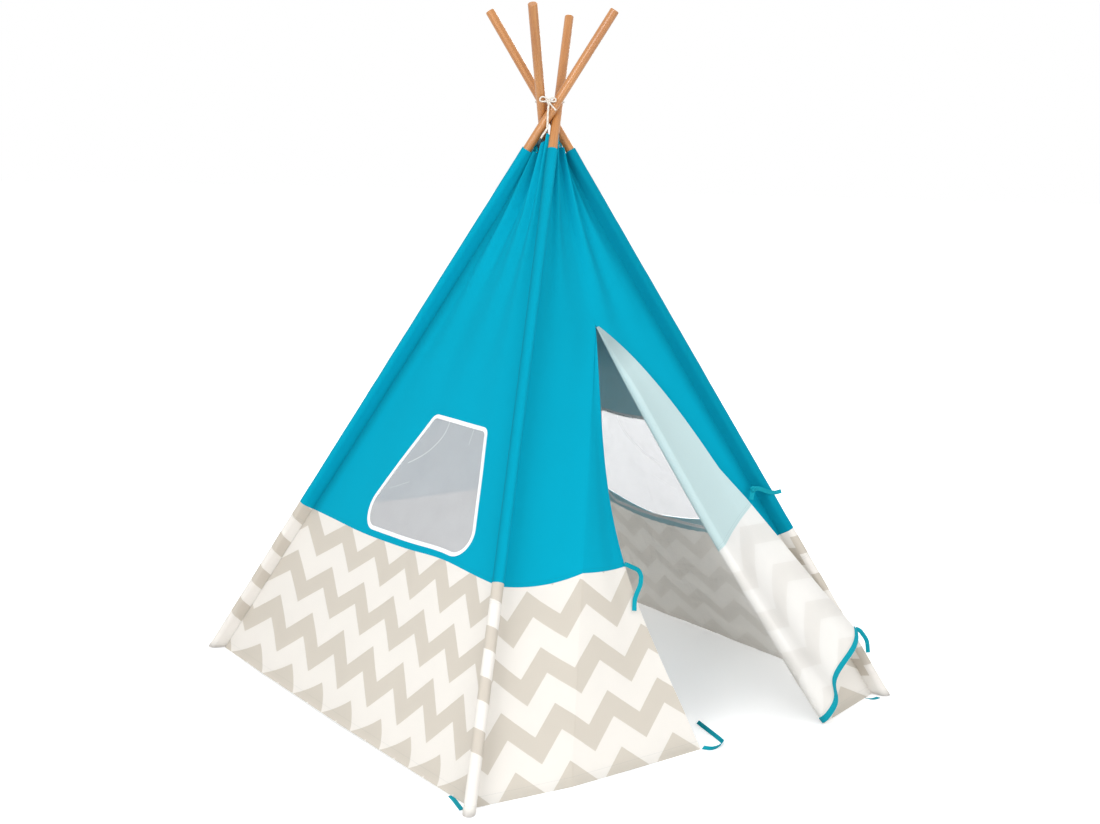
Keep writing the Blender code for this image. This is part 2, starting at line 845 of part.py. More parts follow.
def bow_loop(name, side, reach):
    """A loop that leaves the knot and comes back to it beside itself."""
    route = leaving_knot(side * 0.55, 0.5, 0.8)
    route += [from_knot(side * reach * across, reach * out, reach * up) for across, out, up in bow_shares]
    route += reversed(leaving_knot(side * 0.85, 0.55, -0.02))
    poly_curve(name, smooth_route(route, 3), bow_diameter, ROPE)


bow_loop("bow_loop_left", -1, bow_reach)
bow_loop("bow_loop_right", 1, bow_reach * 0.85)

long_tail_points = (
    *leaving_knot(0, 0.15, -1),
    from_knot(-rope_radius * 0.1, rope_radius * 0.7, -long_tail_drop * 0.14),
    from_knot(-rope_radius * 0.4, rope_radius * 1.2, -long_tail_drop * 0.30),
    from_knot(-rope_radius * 0.6, rope_radius * 1.2, -long_tail_drop * 0.52),
    from_knot(-rope_radius, rope_radius * 1.4, -long_tail_drop * 0.73),
    from_knot(-rope_diameter * 2, rope_diameter * 0.9, -long_tail_drop * 0.88),
    from_knot(-rope_diameter * 3.3, rope_diameter, -long_tail_drop),
)
poly_curve("rope_tail_long", smooth_route(long_tail_points), rope_diameter, ROPE)

short_tail_points = (
    *leaving_knot(0.45, 0.75, -0.7),
    from_knot(short_tail_reach * 0.7, rope_diameter * 1.1, -short_tail_reach * 0.85),
    from_knot(short_tail_reach * 1.2, rope_diameter * 1.2, -short_tail_reach * 1.35),
)
poly_curve("rope_tail_short", smooth_route(short_tail_points), bow_diameter, ROPE)


# Ribbon ties: flat ribbons whose width stays square to their route
def ribbon(name, points, width_direction, finish=RIBBON):
    route = smooth_route(points, 3)
    bm = bmesh.new()
    pairs = []
    for at in route:
        half = width_direction.normalized() * ribbon_width / 2
        pairs.append((bm.verts.new(at - half), bm.verts.new(at + half)))
    for (a, b), (c, d) in zip(pairs, pairs[1:]):
        bm.faces.new((a, b, d, c))
    bmesh.ops.recalc_face_normals(bm, faces=bm.faces)
    made = mesh_object(name, bm, finish)
    solidify(made, ribbon_thickness, 0)


ribbon_clear = half_cloth + ribbon_thickness / 2 + contact_gap
view_right = Vector((1, -1, 0)).normalized()
view_depth = Vector((1, 1, 0)).normalized()

left_edge = left_flap_point(1, seam_height)
tie_length = 0.105
left_tie_shares = (
    (0, 0), (0.10, -0.04), (0.23, -0.125), (0.29, -0.25),
    (0.26, -0.43), (0.16, -0.65), (0.12, -0.82), (0.11, -0.95),
)
ribbon(
    "tie_left_middle",
    [
        left_edge + view_right * (ribbon_clear * 1.8 + tie_length * across) + Vector((0, 0, tie_length * up))
        for across, up in left_tie_shares
    ],
    view_depth * 2 + view_right,
)

left_corner = left_flap_point(1, hem_clearance)
foot_tie_length = 0.12
foot_tie_shares = (
    (0.027, -0.015), (0.12, -0.13), (0.27, -0.14), (0.47, -0.05), (0.54, 0.07), (0.66, 0.51), (0.78, 0.96)
)
ribbon(
    "tie_left_foot",
    [
        Vector((
            left_corner.x + foot_tie_length * across,
            left_corner.y + foot_tie_length * deep,
            contact_gap + ribbon_thickness / 2,
        ))
        for across, deep in foot_tie_shares
    ],
    Vector((1, -1, 0)),
)

# The flap's tie is knotted at its edge and its tail lies over the sleeve
right_edge = right_flap_point(1, seam_height)
tie_knot_centre = right_edge + lay_direction * (tie_knot_radius + contact_gap * 2) + lay_out * half_cloth
bm = bmesh.new()
bmesh.ops.create_icosphere(bm, subdivisions=2, radius=1)
bmesh.ops.scale(
    bm, vec=(tie_knot_radius, tie_knot_radius * 0.8, tie_knot_radius * 0.9), verts=bm.verts
)
tie_knot = mesh_object("tie_right_knot", bm, RIBBON)
tie_knot.matrix_world = Matrix.Translation(tie_knot_centre)
sleeve_axis = front_right.foot + front_right.along * (tie_knot_centre.z / front_right.along.z)
tail_lift = sleeve_radius + ribbon_thickness + contact_gap * 2
tail_over = sleeve_axis + front_out * tail_lift
tail_reach = 0.05
ribbon(
    "tie_right_middle",
    [
        tie_knot_centre + (tail_over - tie_knot_centre).normalized() * (tie_knot_radius + contact_gap * 2),
        tail_over,
        tail_over + Vector((tail_reach / 2, tail_reach * 0.04, 0)),
        tail_over + Vector((tail_reach, tail_reach * 0.3, 0)),
    ],
    Vector((0, 0.25, 1)),
)

right_corner = right_flap_point(1, hem_clearance)
corner_tie_length = 0.06
corner_tie_shares = ((0.0, 0.0, 0.0), (0.1, -0.1, -0.15), (0.12, -0.3, -0.5), (0.05, -0.5, -1.0))
ribbon(
    "tie_right_foot",
    [
        right_corner + lay_direction * ribbon_clear * 0.8 + corner_tie_length * Vector(shares)
        for shares in corner_tie_shares
    ],
    Vector((0.5, -1, 0)),
)


# Foot ties lie on the floor, just outside the hem beside two of the poles
foot_tie_reach = 0.045
foot_tie_height = contact_gap + ribbon_thickness / 2
hem_stand_off = half_cloth + ribbon_width / 2


def foot_tie(name, start, direction, width_direction):
    ribbon(name, [start + direction * foot_tie_reach * step_share for step_share in (0, 0.3, 0.65, 1)],
           width_direction)


left_tie_start = left_wall.point(0.93, hem_clearance)
left_tie_start += Vector((-hem_stand_off, 0, foot_tie_height - left_tie_start.z))
foot_tie("foot_tie_front_left", left_tie_start, Vector((-0.1, -1, 0)), Vector((1, 0, 0)))

right_hem = door_half(1)
right_tie_start = right_hem(0.88, hem_clearance)
right_tie_start += Vector((0, -hem_stand_off / 4, foot_tie_height - right_tie_start.z))
foot_tie("foot_tie_front_right", right_tie_start, Vector((0.25, -1, 0)), Vector((1, 0.25, 0)))

for made in teepee.objects:
    if made.type == "MESH":
        made.data.shade_smooth()
        made.data.set_sharp_from_angle(angle=math.radians(40))

# The left flap turns on the cloth's outer face, so that it can lie back on the wall beside it
left_out = (slit_top - left_foot).cross(Vector((-1, 0, 0))).normalized()
left_hinge = left_foot + left_out * (half_cloth + contact_gap * 2)
left_line = (slit_top - left_foot).normalized()


def pivot(name, place, axis, nodes, parent=None):
    """An empty on a joint's axis, its Z along the axis, that carries the moving pieces."""
    carrier = add_object(name, None, None)
    carrier.matrix_world = Matrix.Translation(place) @ axis.to_track_quat("Z", "Y").to_matrix().to_4x4()
    if parent:
        ride(carrier, parent)
    for node in nodes:
        ride(teepee.objects[node], carrier)
    print(name, "at", tuple(round(v, 6) for v in place), "axis", tuple(round(v, 6) for v in axis))
    return carrier


def ride(moving, carrier):
    bpy.context.view_layer.update()
    place = moving.matrix_world.copy()
    moving.parent = carrier
    moving.matrix_parent_inverse = carrier.matrix_world.inverted()
    moving.matrix_world = place


carried = {corner.name: [] for corner in corners}
for corner in corners:
    for piece in ("pole_upper", "pole_lower", "pole_ferrule", "sleeve_upper", "sleeve_lower"):
        carried[corner.name].append(f"{piece}_{corner.name}")
carried["front_left"] += ["door_left_upper", "door_left_lower", "tape_door_left"]
carried["front_right"] += ["door_right_upper", "door_right_lower", "tape_door_right", "foot_tie_front_right"]
folds = {
    corner.name: pivot(f"fold_{corner.name}", corner.crossing, corner.tangent, carried[corner.name])
    for corner in corners
}
left_swing = ["flap_left_upper", "flap_left_lower", "tape_flap_left", "tie_left_middle", "tie_left_foot"]
right_swing = ["flap_right_upper", "flap_right_lower", "tape_flap_right",
               "tie_right_knot", "tie_right_middle", "tie_right_foot"]
pivot("swing_left", left_hinge, left_line, left_swing, folds["front_left"])
pivot("swing_right", right_foot, fold_line, right_swing, folds["front_right"])
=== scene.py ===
"""Kids teepee: crossed poles lashed near the top, a plain and zigzag cotton cover, a parted door."""

import math

import bmesh
import bpy
from mathutils import Matrix, Vector, noise


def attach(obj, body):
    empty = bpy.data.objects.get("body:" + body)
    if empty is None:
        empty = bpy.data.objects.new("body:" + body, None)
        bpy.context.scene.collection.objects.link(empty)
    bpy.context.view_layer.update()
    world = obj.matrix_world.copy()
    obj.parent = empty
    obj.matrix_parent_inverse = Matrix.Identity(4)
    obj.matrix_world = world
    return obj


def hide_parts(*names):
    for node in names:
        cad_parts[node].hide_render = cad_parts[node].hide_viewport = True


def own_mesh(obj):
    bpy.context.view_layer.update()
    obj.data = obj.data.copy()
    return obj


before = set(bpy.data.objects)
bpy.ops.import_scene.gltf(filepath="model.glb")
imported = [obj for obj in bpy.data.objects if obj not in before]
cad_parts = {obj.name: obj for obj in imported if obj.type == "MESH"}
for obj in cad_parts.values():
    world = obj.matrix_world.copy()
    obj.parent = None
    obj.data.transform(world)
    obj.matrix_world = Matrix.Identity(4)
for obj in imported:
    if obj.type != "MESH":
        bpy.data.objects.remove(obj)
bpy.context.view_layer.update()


# Camera: eye height of a standing adult, off the tent's left front pole and turned a little down,
# with the slight roll that the picture was taken with.
camera_yaw, camera_pitch, camera_roll = (math.radians(angle) for angle in (36.56, -9.63, 1.24))
camera_lens = bpy.data.cameras.new("camera")
camera_lens.sensor_width = 36
camera_lens.lens = 48.3
camera_forward = Vector((
    math.sin(camera_yaw) * math.cos(camera_pitch),
    math.cos(camera_yaw) * math.cos(camera_pitch),
    math.sin(camera_pitch),
))
camera_level = Vector((math.cos(camera_yaw), -math.sin(camera_yaw), 0))
camera_upright = camera_level.cross(camera_forward)
camera_right = camera_level * math.cos(camera_roll) + camera_upright * math.sin(camera_roll)
camera_top = camera_upright * math.cos(camera_roll) - camera_level * math.sin(camera_roll)
camera = bpy.data.objects.new("camera", camera_lens)
camera.matrix_world = (
    Matrix.Translation((-2.094, -2.831, 1.256))
    @ Matrix((camera_right, camera_top, -camera_forward)).transposed().to_4x4()
)
bpy.context.scene.collection.objects.link(camera)
bpy.context.scene.camera = camera
bpy.context.scene.view_settings.view_transform = "Standard"


# Studio: a white sweep and even light from all round, with one large soft lamp left of the camera.
# Each material and the room's light are put together from nodes with the two classes below.
class Value:
    """A shader socket that takes Python's own operators."""

    def __init__(self, shade, socket):
        self.shade, self.socket = shade, socket

    def sums(self, operation, *others):
        return self.shade.node("ShaderNodeMath", {"operation": operation}, dict(enumerate(others)), 0)

    def __add__(self, other):
        return self.sums("ADD", self, other)

    def __radd__(self, other):
        return self.sums("ADD", other, self)

    def __sub__(self, other):
        return self.sums("SUBTRACT", self, other)

    def __rsub__(self, other):
        return self.sums("SUBTRACT", other, self)

    def __mul__(self, other):
        return self.sums("MULTIPLY", self, other)

    def __rmul__(self, other):
        return self.sums("MULTIPLY", other, self)

    def __truediv__(self, other):
        return self.sums("DIVIDE", self, other)

    def __pow__(self, other):
        return self.sums("POWER", self, other)

    def __abs__(self):
        return self.sums("ABSOLUTE", self)

    def __lt__(self, other):
        return self.sums("LESS_THAN", self, other)

    def __gt__(self, other):
        return self.sums("GREATER_THAN", self, other)

    def fraction(self):
        return self.sums("FRACT", self)

    def wave(self):
        return self.sums("SINE", self)

    def larger(self, other):
        return self.sums("MAXIMUM", self, other)

    def smaller(self, other):
        return self.sums("MINIMUM", self, other)

    def ridges(self, spacing):
        """Ridges side by side: 1 on top of each and 0 between them."""
        return abs((self * (math.pi / spacing)).wave())

    def fading(self, reach):
        """1 where this is 0, and less and less up to 0 at the reach."""
        return (reach - self).larger(0) / reach


class Shade:
    """One material, world or lamp's nodes."""

    def __init__(self, owner):
        owner.use_nodes = True
        self.owner, self.tree = owner, owner.node_tree
        self.tree.nodes.clear()

    def node(self, kind, settings=None, inputs=None, output=None):
        made = self.tree.nodes.new(kind)
        for key, value in (settings or {}).items():
            if key == "stops":
                for stop, (place, colour) in zip(made.color_ramp.elements, value):
                    stop.position, stop.color = place, (*colour, 1)
            else:
                setattr(made, key, value)
        for key, value in (inputs or {}).items():
            socket = made.inputs[key]
            if isinstance(value, Value):
                value = value.socket
            if isinstance(value, bpy.types.NodeSocket):
                self.tree.links.new(value, socket)
            elif socket.type == "RGBA" and len(value) == 3:
                socket.default_value = (*value, 1)
            else:
                socket.default_value = value
        return made if output is None else Value(self, made.outputs[output])

    def blend(self, share, first, second):
        """The first colour where share is 0 and the second where it is 1."""
        settings = {"data_type": "RGBA", "clamp_factor": True}
        return self.node("ShaderNodeMix", settings, {0: share, 6: first, 7: second}, 2)

    def stretched(self, place, scale):
        """The place, times a scale for each of its directions."""
        return self.node("ShaderNodeVectorMath", {"operation": "MULTIPLY"}, {0: place, 1: scale}, 0)

    def grain(self, place, scale, detail=2.0):
        """Noise about one half, with features of about 1 / scale."""
        inputs = {"Vector": place, "Scale": scale, "Detail": detail, "Roughness": 0.5}
        return self.node("ShaderNodeTexNoise", {}, inputs, "Fac")

    def own_measure(self, uv_map):
        """The place on the piece's own UV map, and its two measures one by one."""
        place = self.node("ShaderNodeUVMap", {"uv_map": uv_map}).outputs[0]
        split = self.node("ShaderNodeSeparateXYZ", {}, {"Vector": place})
        return place, Value(self, split.outputs[0]), Value(self, split.outputs[1])

    def seen_directly(self):
        """1 for a ray from the camera, also one that a gloss or glass passes on, and 0 for others."""
        path = self.node("ShaderNodeLightPath")
        seen = Value(self, path.outputs["Is Camera Ray"])
        for ray in ("Is Glossy Ray", "Is Transmission Ray"):
            seen = seen.larger(Value(self, path.outputs[ray]))
        return seen

    def relief(self, strength, distance, height):
        """The surface's normal, from how high each place of it stands."""
        inputs = {"Strength": strength, "Distance": distance, "Height": height}
        return self.node("ShaderNodeBump", {}, inputs).outputs[0]

    def principled(self, looks):
        return self.node("ShaderNodeBsdfPrincipled", {}, looks)

    def mixed(self, share, first, second):
        """The first surface where share is 0 and the second where it is 1."""
        inputs = {0: share, 1: first.outputs[0], 2: second.outputs[0]}
        return self.node("ShaderNodeMixShader", {}, inputs)

    def done(self, surface):
        """The material, once its surface is joined to its output."""
        self.node("ShaderNodeOutputMaterial", {}, {"Surface": surface.outputs[0]})
        return self.owner


backdrop_white = (1.0, 1.0, 1.0)
room_low, room_high = 0.42, 1.15
room = Shade(bpy.data.worlds.new("room"))
bpy.context.scene.world = room.owner
room_seen = room.seen_directly()
direction = room.node("ShaderNodeTexCoord").outputs["Generated"]
overhead = Value(room, room.node("ShaderNodeSeparateXYZ", {}, {"Vector": direction}).outputs[2]).larger(0)
room_strength = overhead * (room_high - room_low) + room_low
room_light = room.node(
    "ShaderNodeBackground", {},
    {"Color": backdrop_white, "Strength": room_seen * (1 - room_strength) + room_strength},
)
room.node("ShaderNodeOutputWorld", {}, {"Surface": room_light.outputs[0]})


def soft_lamp(name, place, target, size, watts):
    lamp = bpy.data.lights.new(name, "AREA")
    lamp.shape = "DISK"
    lamp.size = size
    lamp.energy = watts
    held = bpy.data.objects.new(name, lamp)
    held.location = place
    held.rotation_euler = (Vector(target) - Vector(place)).to_track_quat("-Z", "Y").to_euler()
    bpy.context.scene.collection.objects.link(held)


soft_lamp("lamp_left", (-4.4, -1.6, 3.0), (0, 0, 0.6), 2.4, 124)
soft_lamp("lamp_front", (-1.4, -4.6, 1.5), (0, 0, 0.5), 2.2, 64)
soft_lamp("lamp_right", (3.4, -3.4, 2.4), (0, 0, 0.6), 2.4, 30)
soft_lamp("lamp_back", (3.2, 3.0, 2.6), (0, 0, 0.5), 2.6, 84)

floor_finish = Shade(bpy.data.materials.new("studio_floor"))
floor_seen = floor_finish.seen_directly()
floor_paint = floor_finish.principled({
    "Base Color": floor_finish.blend(floor_seen, (0.55, 0.55, 0.55), (0.90, 0.90, 0.90)),
    "Roughness": 0.9, "Specular IOR Level": 0.0,
    "Emission Color": floor_finish.blend(floor_seen, (0, 0, 0), (0.30, 0.30, 0.30)),
    "Emission Strength": 1.0,
})
floor_mesh = bpy.data.meshes.new("studio_floor")
bm = bmesh.new()
bmesh.ops.create_circle(bm, cap_ends=True, segments=96, radius=60)
bm.to_mesh(floor_mesh)
bm.free()
studio_floor = bpy.data.objects.new("studio_floor", floor_mesh)
studio_floor.location = (0, 0, -0.0004)
floor_mesh.materials.append(floor_finish.done(floor_paint))
bpy.context.scene.collection.objects.link(studio_floor)


# Poles: round varnished pine dowel, each in two lengths with a steel ferrule inside the sleeve.
# They cross under the rope, each a dowel's thickness to the right of the middle.
stand_centre = Vector((0, 0.02, 0))
base_half = 0.6
crossing_height = 1.361
dowel_radius = 0.011
dowel_lean = math.atan2(base_half * math.sqrt(2), crossing_height)
crossing_offset = (
    (dowel_radius * 2 + 0.0003) * math.sqrt(1 + math.cos(dowel_lean) ** 2) / (2 * math.cos(dowel_lean))
)


class Corner:
    """A pole's line, from the middle of its foot up through the crossing."""

    def __init__(self, name, side_x, side_y):
        self.name, self.body, self.fold = name, f"pole_{name}", f"fold_{name}"
        self.radial = Vector((side_x, side_y, 0)).normalized()
        self.tangent = Vector((-self.radial.y, self.radial.x, 0))
        self.foot = stand_centre + self.radial * base_half * math.sqrt(2)
        self.crossing = stand_centre + self.tangent * crossing_offset + Vector((0, 0, crossing_height))
        self.along = (self.crossing - self.foot).normalized()
        inward = -self.radial
        self.inward = (inward - self.along * inward.dot(self.along)).normalized()
        self.side = self.along.cross(self.inward)


front_left = Corner("front_left", -1, -1)
front_right = Corner("front_right", 1, -1)
back_right = Corner("back_right", 1, 1)
back_left = Corner("back_left", -1, 1)
corners = (front_left, front_right, back_right, back_left)

pine_dark, pine_mid, pine_light = (0.30, 0.095, 0.020), (0.48, 0.195, 0.045), (0.64, 0.30, 0.095)


def pine(corner):
    """Varnished pine whose grain runs up the pole."""
    shade = Shade(bpy.data.materials.new(f"pine_{corner.name}"))
    turn = Matrix((corner.inward, corner.side, corner.along)).transposed().to_euler()
    place = shade.node("ShaderNodeTexCoord").outputs["Object"]
    upright = shade.node(
        "ShaderNodeMapping", {"vector_type": "TEXTURE"},
        {"Vector": place, "Location": corner.foot, "Rotation": turn}, 0,
    )
    rings = shade.grain(shade.stretched(upright, (1, 1, 0.035)), 260, 4)
    pores = shade.grain(shade.stretched(upright, (1, 1, 0.02)), 900, 2)
    cloudy = shade.grain(shade.stretched(upright, (1, 1, 0.2)), 18, 2)
    tone = rings * 0.7 + cloudy * 0.45 + pores * 0.25 - 0.2
    ramp = {"stops": ((0.25, pine_dark), (0.75, pine_light))}
    wood = shade.node("ShaderNodeValToRGB", ramp, {"Fac": tone}, "Color")
    wood = shade.blend(0.35, wood, pine_mid)
    return shade.done(shade.principled({
        "Base Color": wood, "Roughness": 0.36 + rings * 0.16, "Normal": shade.relief(0.06, 0.0002, rings),
        "Coat Weight": 0.5, "Coat Roughness": 0.18,
    }))


def drawn_steel():
    shade = Shade(bpy.data.materials.new("drawn_steel"))
    place = shade.node("ShaderNodeTexCoord").outputs["Object"]
    marks = shade.grain(shade.stretched(place, (1, 1, 0.1)), 700, 3)
    steel_grey = (0.60, 0.60, 0.58)
    return shade.done(shade.principled(
        {"Base Color": steel_grey, "Metallic": 1.0, "Roughness": 0.25 + marks * 0.25}
    ))


ferrule_steel = drawn_steel()


def refinish(node, material):
    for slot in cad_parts[node].material_slots:
        slot.material = material


for corner in corners:
    dowel = pine(corner)
    refinish(f"pole_upper_{corner.name}", dowel)
    refinish(f"pole_lower_{corner.name}", dowel)
    refinish(f"pole_ferrule_{corner.name}", ferrule_steel)


# Lashing: a twisted white cotton rope through a drilled hole in each pole, drawn round the four
# and tied in a small bow in front, with one short end and one long one that hangs down.
rope_thickness = 0.005
strand_count = 3
lay_length = 0.013


def spread(points, steps):
    """A smooth curve through the points, in the given number of steps for each."""
    points = [Vector(point) for point in points]
    ends = [points[0] * 2 - points[1]] + points + [points[-1] * 2 - points[-2]]
    route = []
    for p0, p1, p2, p3 in zip(ends, ends[1:], ends[2:], ends[3:]):
        for step in range(steps):
            t = step / steps
            route.append(
                (p1 * 2 + (p2 - p0) * t + (p0 * 2 - p1 * 5 + p2 * 4 - p3) * t**2
                 + (p1 * 3 - p0 - p2 * 3 + p3) * t**3) / 2
            )
    return route + [points[-1]]


def runs_along(route):
    """How far along the route each of its points lies."""
    runs = [0.0]
    for a, b in zip(route, route[1:]):
        runs.append(runs[-1] + (b - a).length)
    return runs


def sections(route):
    """A level frame at each place of the route: the way on, and two directions across it."""
    ways = [(after - before).normalized() for before, after in zip(route, route[1:])]
    ways = [ways[0]] + [(a + b).normalized() for a, b in zip(ways, ways[1:])] + [ways[-1]]
    across = ways[0].orthogonal().normalized()
    found = []
    for way in ways:
        across = (across - way * across.dot(way)).normalized()
        found.append((way, across, way.cross(across)))
    return found


def finished(name, bm, materials):
    data = bpy.data.meshes.new(name)
    bm.to_mesh(data)
    bm.free()
    data.shade_smooth()
    made = bpy.data.objects.new(name, data)
    for material in materials:
        data.materials.append(material)
    bpy.context.scene.collection.objects.link(made)
    return made


def keep_measure(bm, uv_map, measure):
    """Keeps what measure gives for each point of the flat grid as the piece's own UV map."""
    uv = bm.loops.layers.uv.new(uv_map)
    for face in bm.faces:
        for loop in face.loops:
            loop[uv].uv = measure(loop.vert.co.x, loop.vert.co.y)


def close_tube(bm):
    """Joins the grid that was rolled into a tube, and turns its faces outwards."""
    bmesh.ops.remove_doubles(bm, verts=bm.verts, dist=0.00001)
    bmesh.ops.recalc_face_normals(bm, faces=bm.faces)


def twisted(name, route, diameter, material):
    """A laid rope along the route: its strands show as lobes that turn round it."""
    around, ends_tucked = strand_count * 6, 2
    frames, runs = sections(route), runs_along(route)
    bm = bmesh.new()
    rows = len(route) - 1
    bmesh.ops.create_grid(bm, x_segments=around, y_segments=rows + ends_tucked * 2, size=1)
    for vert in bm.verts:
        column = (vert.co.x + 1) / 2
        row = round((vert.co.y + 1) / 2 * (rows + ends_tucked * 2)) - ends_tucked
        vert.co = (column, row, 0)
    keep_measure(
        bm, "rope", lambda share, row: (share * math.pi * diameter, runs[min(max(round(row), 0), rows)])
    )
    for vert in bm.verts:
        row = round(vert.co.y)
        closed = max(-row, row - rows, 0) / ends_tucked
        row = min(max(row, 0), rows)
        way, across, over = frames[row]
        angle = vert.co.x * 2 * math.pi
        turned_by = 2 * math.pi * runs[row] / lay_length
        lobe = 0.92 + 0.08 * math.cos(strand_count * angle - turned_by)
        radius = diameter / 2 * lobe * math.sqrt(max(0, 1 - closed**2))
        vert.co = route[row] + (across * math.cos(angle) + over * math.sin(angle)) * radius
    close_tube(bm)
    return finished(name, bm, [material])


def cotton_rope():
    shade = Shade(bpy.data.materials.new("cotton_rope"))
    place, around, along = shade.own_measure("rope")
    turns = around / (math.pi * rope_thickness) * strand_count - along / lay_length
    groove, yarns = turns.ridges(1), (turns * 5 + along / 0.0011).ridges(1)
    fuzz = shade.grain(place, 1800, 3)
    # Painted shade: darker in the grooves between the strands and between the yarns, with random fuzz in the
    # tone.
    groove_shade_and_fuzz = groove ** 0.5 * 0.7 + yarns * 0.15 + fuzz * 0.15
    colour = shade.blend(groove_shade_and_fuzz, (0.50, 0.42, 0.33), (0.90, 0.86, 0.79))
    return shade.done(shade.principled({
        "Base Color": colour, "Roughness": 0.9, "Sheen Weight": 0.25,
        "Normal": shade.relief(0.5, 0.0004, yarns + fuzz),
    }))


rope_white = cotton_rope()
ring_height = crossing_height + 0.033
ring_side = 0.027108
ring_round = 0.013608
ring_hole_turn = 1.647131
ring_centre = stand_centre + Vector((0, 0, ring_height))


def ring_point(quarter):
    """A point of the rounded square through the four holes, in quarter turns from the first."""
    side = round(quarter)
    run = ring_side * 2 * (quarter - side)
    straight = ring_side - ring_round
    x, y = ring_side, run
    if abs(run) > straight:
        angle = (abs(run) - straight) / ring_round * (math.pi / 4)
        x = straight + ring_round * math.cos(angle)
        y = math.copysign(straight + ring_round * math.sin(angle), run)
    turned_by = ring_hole_turn + side * math.pi / 2
    c, s = math.cos(turned_by), math.sin(turned_by)
    return ring_centre + Vector((x * c - y * s, x * s + y * c, 0))


def rope_rides(piece, corner, node):
    """The rope piece, in a mesh of its own, moves with its pole in place of the part it stands for."""
    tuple(corner.tangent)
    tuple(corner.foot)
    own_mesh(piece)
    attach(piece, corner.body)
    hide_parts(node)


for corner in corners:
    hole = corner.foot + corner.along * (ring_height / corner.along.z)
    quarter = min(range(4), key=lambda q: (ring_point(q) - hole).length)
    arc = [ring_point(quarter - 0.5 + step / 24) for step in range(25)]
    arc_rope = twisted(f"rope_ring_{corner.name}", arc, rope_thickness, rope_white)
    rope_rides(arc_rope, corner, "lashing_rope")

knot_centre = ring_point(1.5)
knot_out = Vector((knot_centre.x, knot_centre.y - stand_centre.y, 0)).normalized()
knot_right = Vector((-knot_out.y, knot_out.x, 0))


def tied(centre, right, out, half_width, half_height, half_depth, steps):
    """The route through a drawn-up overhand knot, whose loops turn about the centre."""
    wraps = []
    for step in range(steps + 1):
        t = step / steps * 2 * math.pi
        ring = 2 + math.cos(3 * t)
        wraps.append(
            centre
            + right * math.cos(2 * t) * ring * half_width
            + Vector((0, 0, math.sin(2 * t) * ring * half_height))
            + out * math.sin(3 * t) * half_depth
        )
    return wraps


knot_wraps = tied(knot_centre, knot_right, knot_out, 0.00155, 0.0014, 0.0019, 90)
rope_knot = twisted("rope_knot", knot_wraps, rope_thickness * 0.85, rope_white)
rope_rides(rope_knot, front_left, "lashing_knot")

bow_thickness = rope_thickness * 0.8
bow_routes = {
    "left": [
        (-0.0257, -0.0049, 1.3988), (-0.0270, -0.0050, 1.4002), (-0.0368, -0.0054, 1.4035),
        (-0.0407, -0.0017, 1.4026), (-0.0422, 0.0017, 1.3982), (-0.0401, 0.0018, 1.3940),
        (-0.0361, -0.0011, 1.3929), (-0.0299, -0.0037, 1.3938), (-0.0280, -0.0039, 1.3939),
    ],
    "right": [
        (-0.0207, -0.0092, 1.3988), (-0.0206, -0.0105, 1.4002), (-0.0197, -0.0179, 1.4021),
        (-0.0162, -0.0207, 1.4013), (-0.0131, -0.0216, 1.3976), (-0.0133, -0.0198, 1.3940),
        (-0.0163, -0.0168, 1.3930), (-0.0188, -0.0131, 1.3938), (-0.0194, -0.0113, 1.3939),
    ],
}
for side, places in bow_routes.items():
    route = spread(places, 6)
    loop_rope = twisted(f"rope_bow_{side}", route, bow_thickness, rope_white)
    rope_rides(loop_rope, front_left, f"bow_loop_{side}")
    runs_along(route)[-1]

long_end = spread([
    (-0.0219, -0.0055, 1.3876), (-0.0221, -0.0058, 1.3858), (-0.0226, -0.0060, 1.3821),
    (-0.0240, -0.0064, 1.3685), (-0.0244, -0.0061, 1.3498), (-0.0255, -0.0058, 1.3320),
    (-0.0318, -0.0017, 1.3192), (-0.0371, 0.0021, 1.3090),
], 8)
rope_long = twisted("rope_end_long", long_end, rope_thickness, rope_white)
rope_rides(rope_long, front_left, "rope_tail_long")
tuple(long_end[0])
runs_along(long_end)[-1]

short_end = spread([
    (-0.0221, -0.0097, 1.3900), (-0.0224, -0.0112, 1.3888),
    (-0.0169, -0.0158, 1.3813), (-0.0115, -0.0211, 1.3738),
], 8)
rope_short = twisted("rope_end_short", short_end, bow_thickness, rope_white)
rope_rides(rope_short, front_left, "rope_tail_short")


# Corner sleeves: tubes of the cover's own cloth, sewn along the stitch line between two walls,
# turquoise above the seam and printed below it, with a closed pocket that the pole stands in.
cloth_thickness = 0.0012
sleeve_radius = 0.01275
sleeve_reach, sleeve_top_reach, sleeve_tip = 0.026, 0.020, 0.002
sleeve_taper_height, cover_top, seam_height = 1.128, 1.273, 0.383
wall_slope = math.atan2(base_half, crossing_height)
zigzag_period, zigzag_rise, zigzag_band = 0.1195, 0.060, 0.46

turquoise_front, turquoise_back = (0.0, 0.41, 0.59), (0.63, 0.79, 0.79)
print_white, print_grey = (0.915, 0.885, 0.84), (0.655, 0.605, 0.53)
print_back_white, print_back_grey = (0.94, 0.935, 0.915), (0.885, 0.875, 0.85)
seam_rise = seam_height / math.cos(wall_slope)


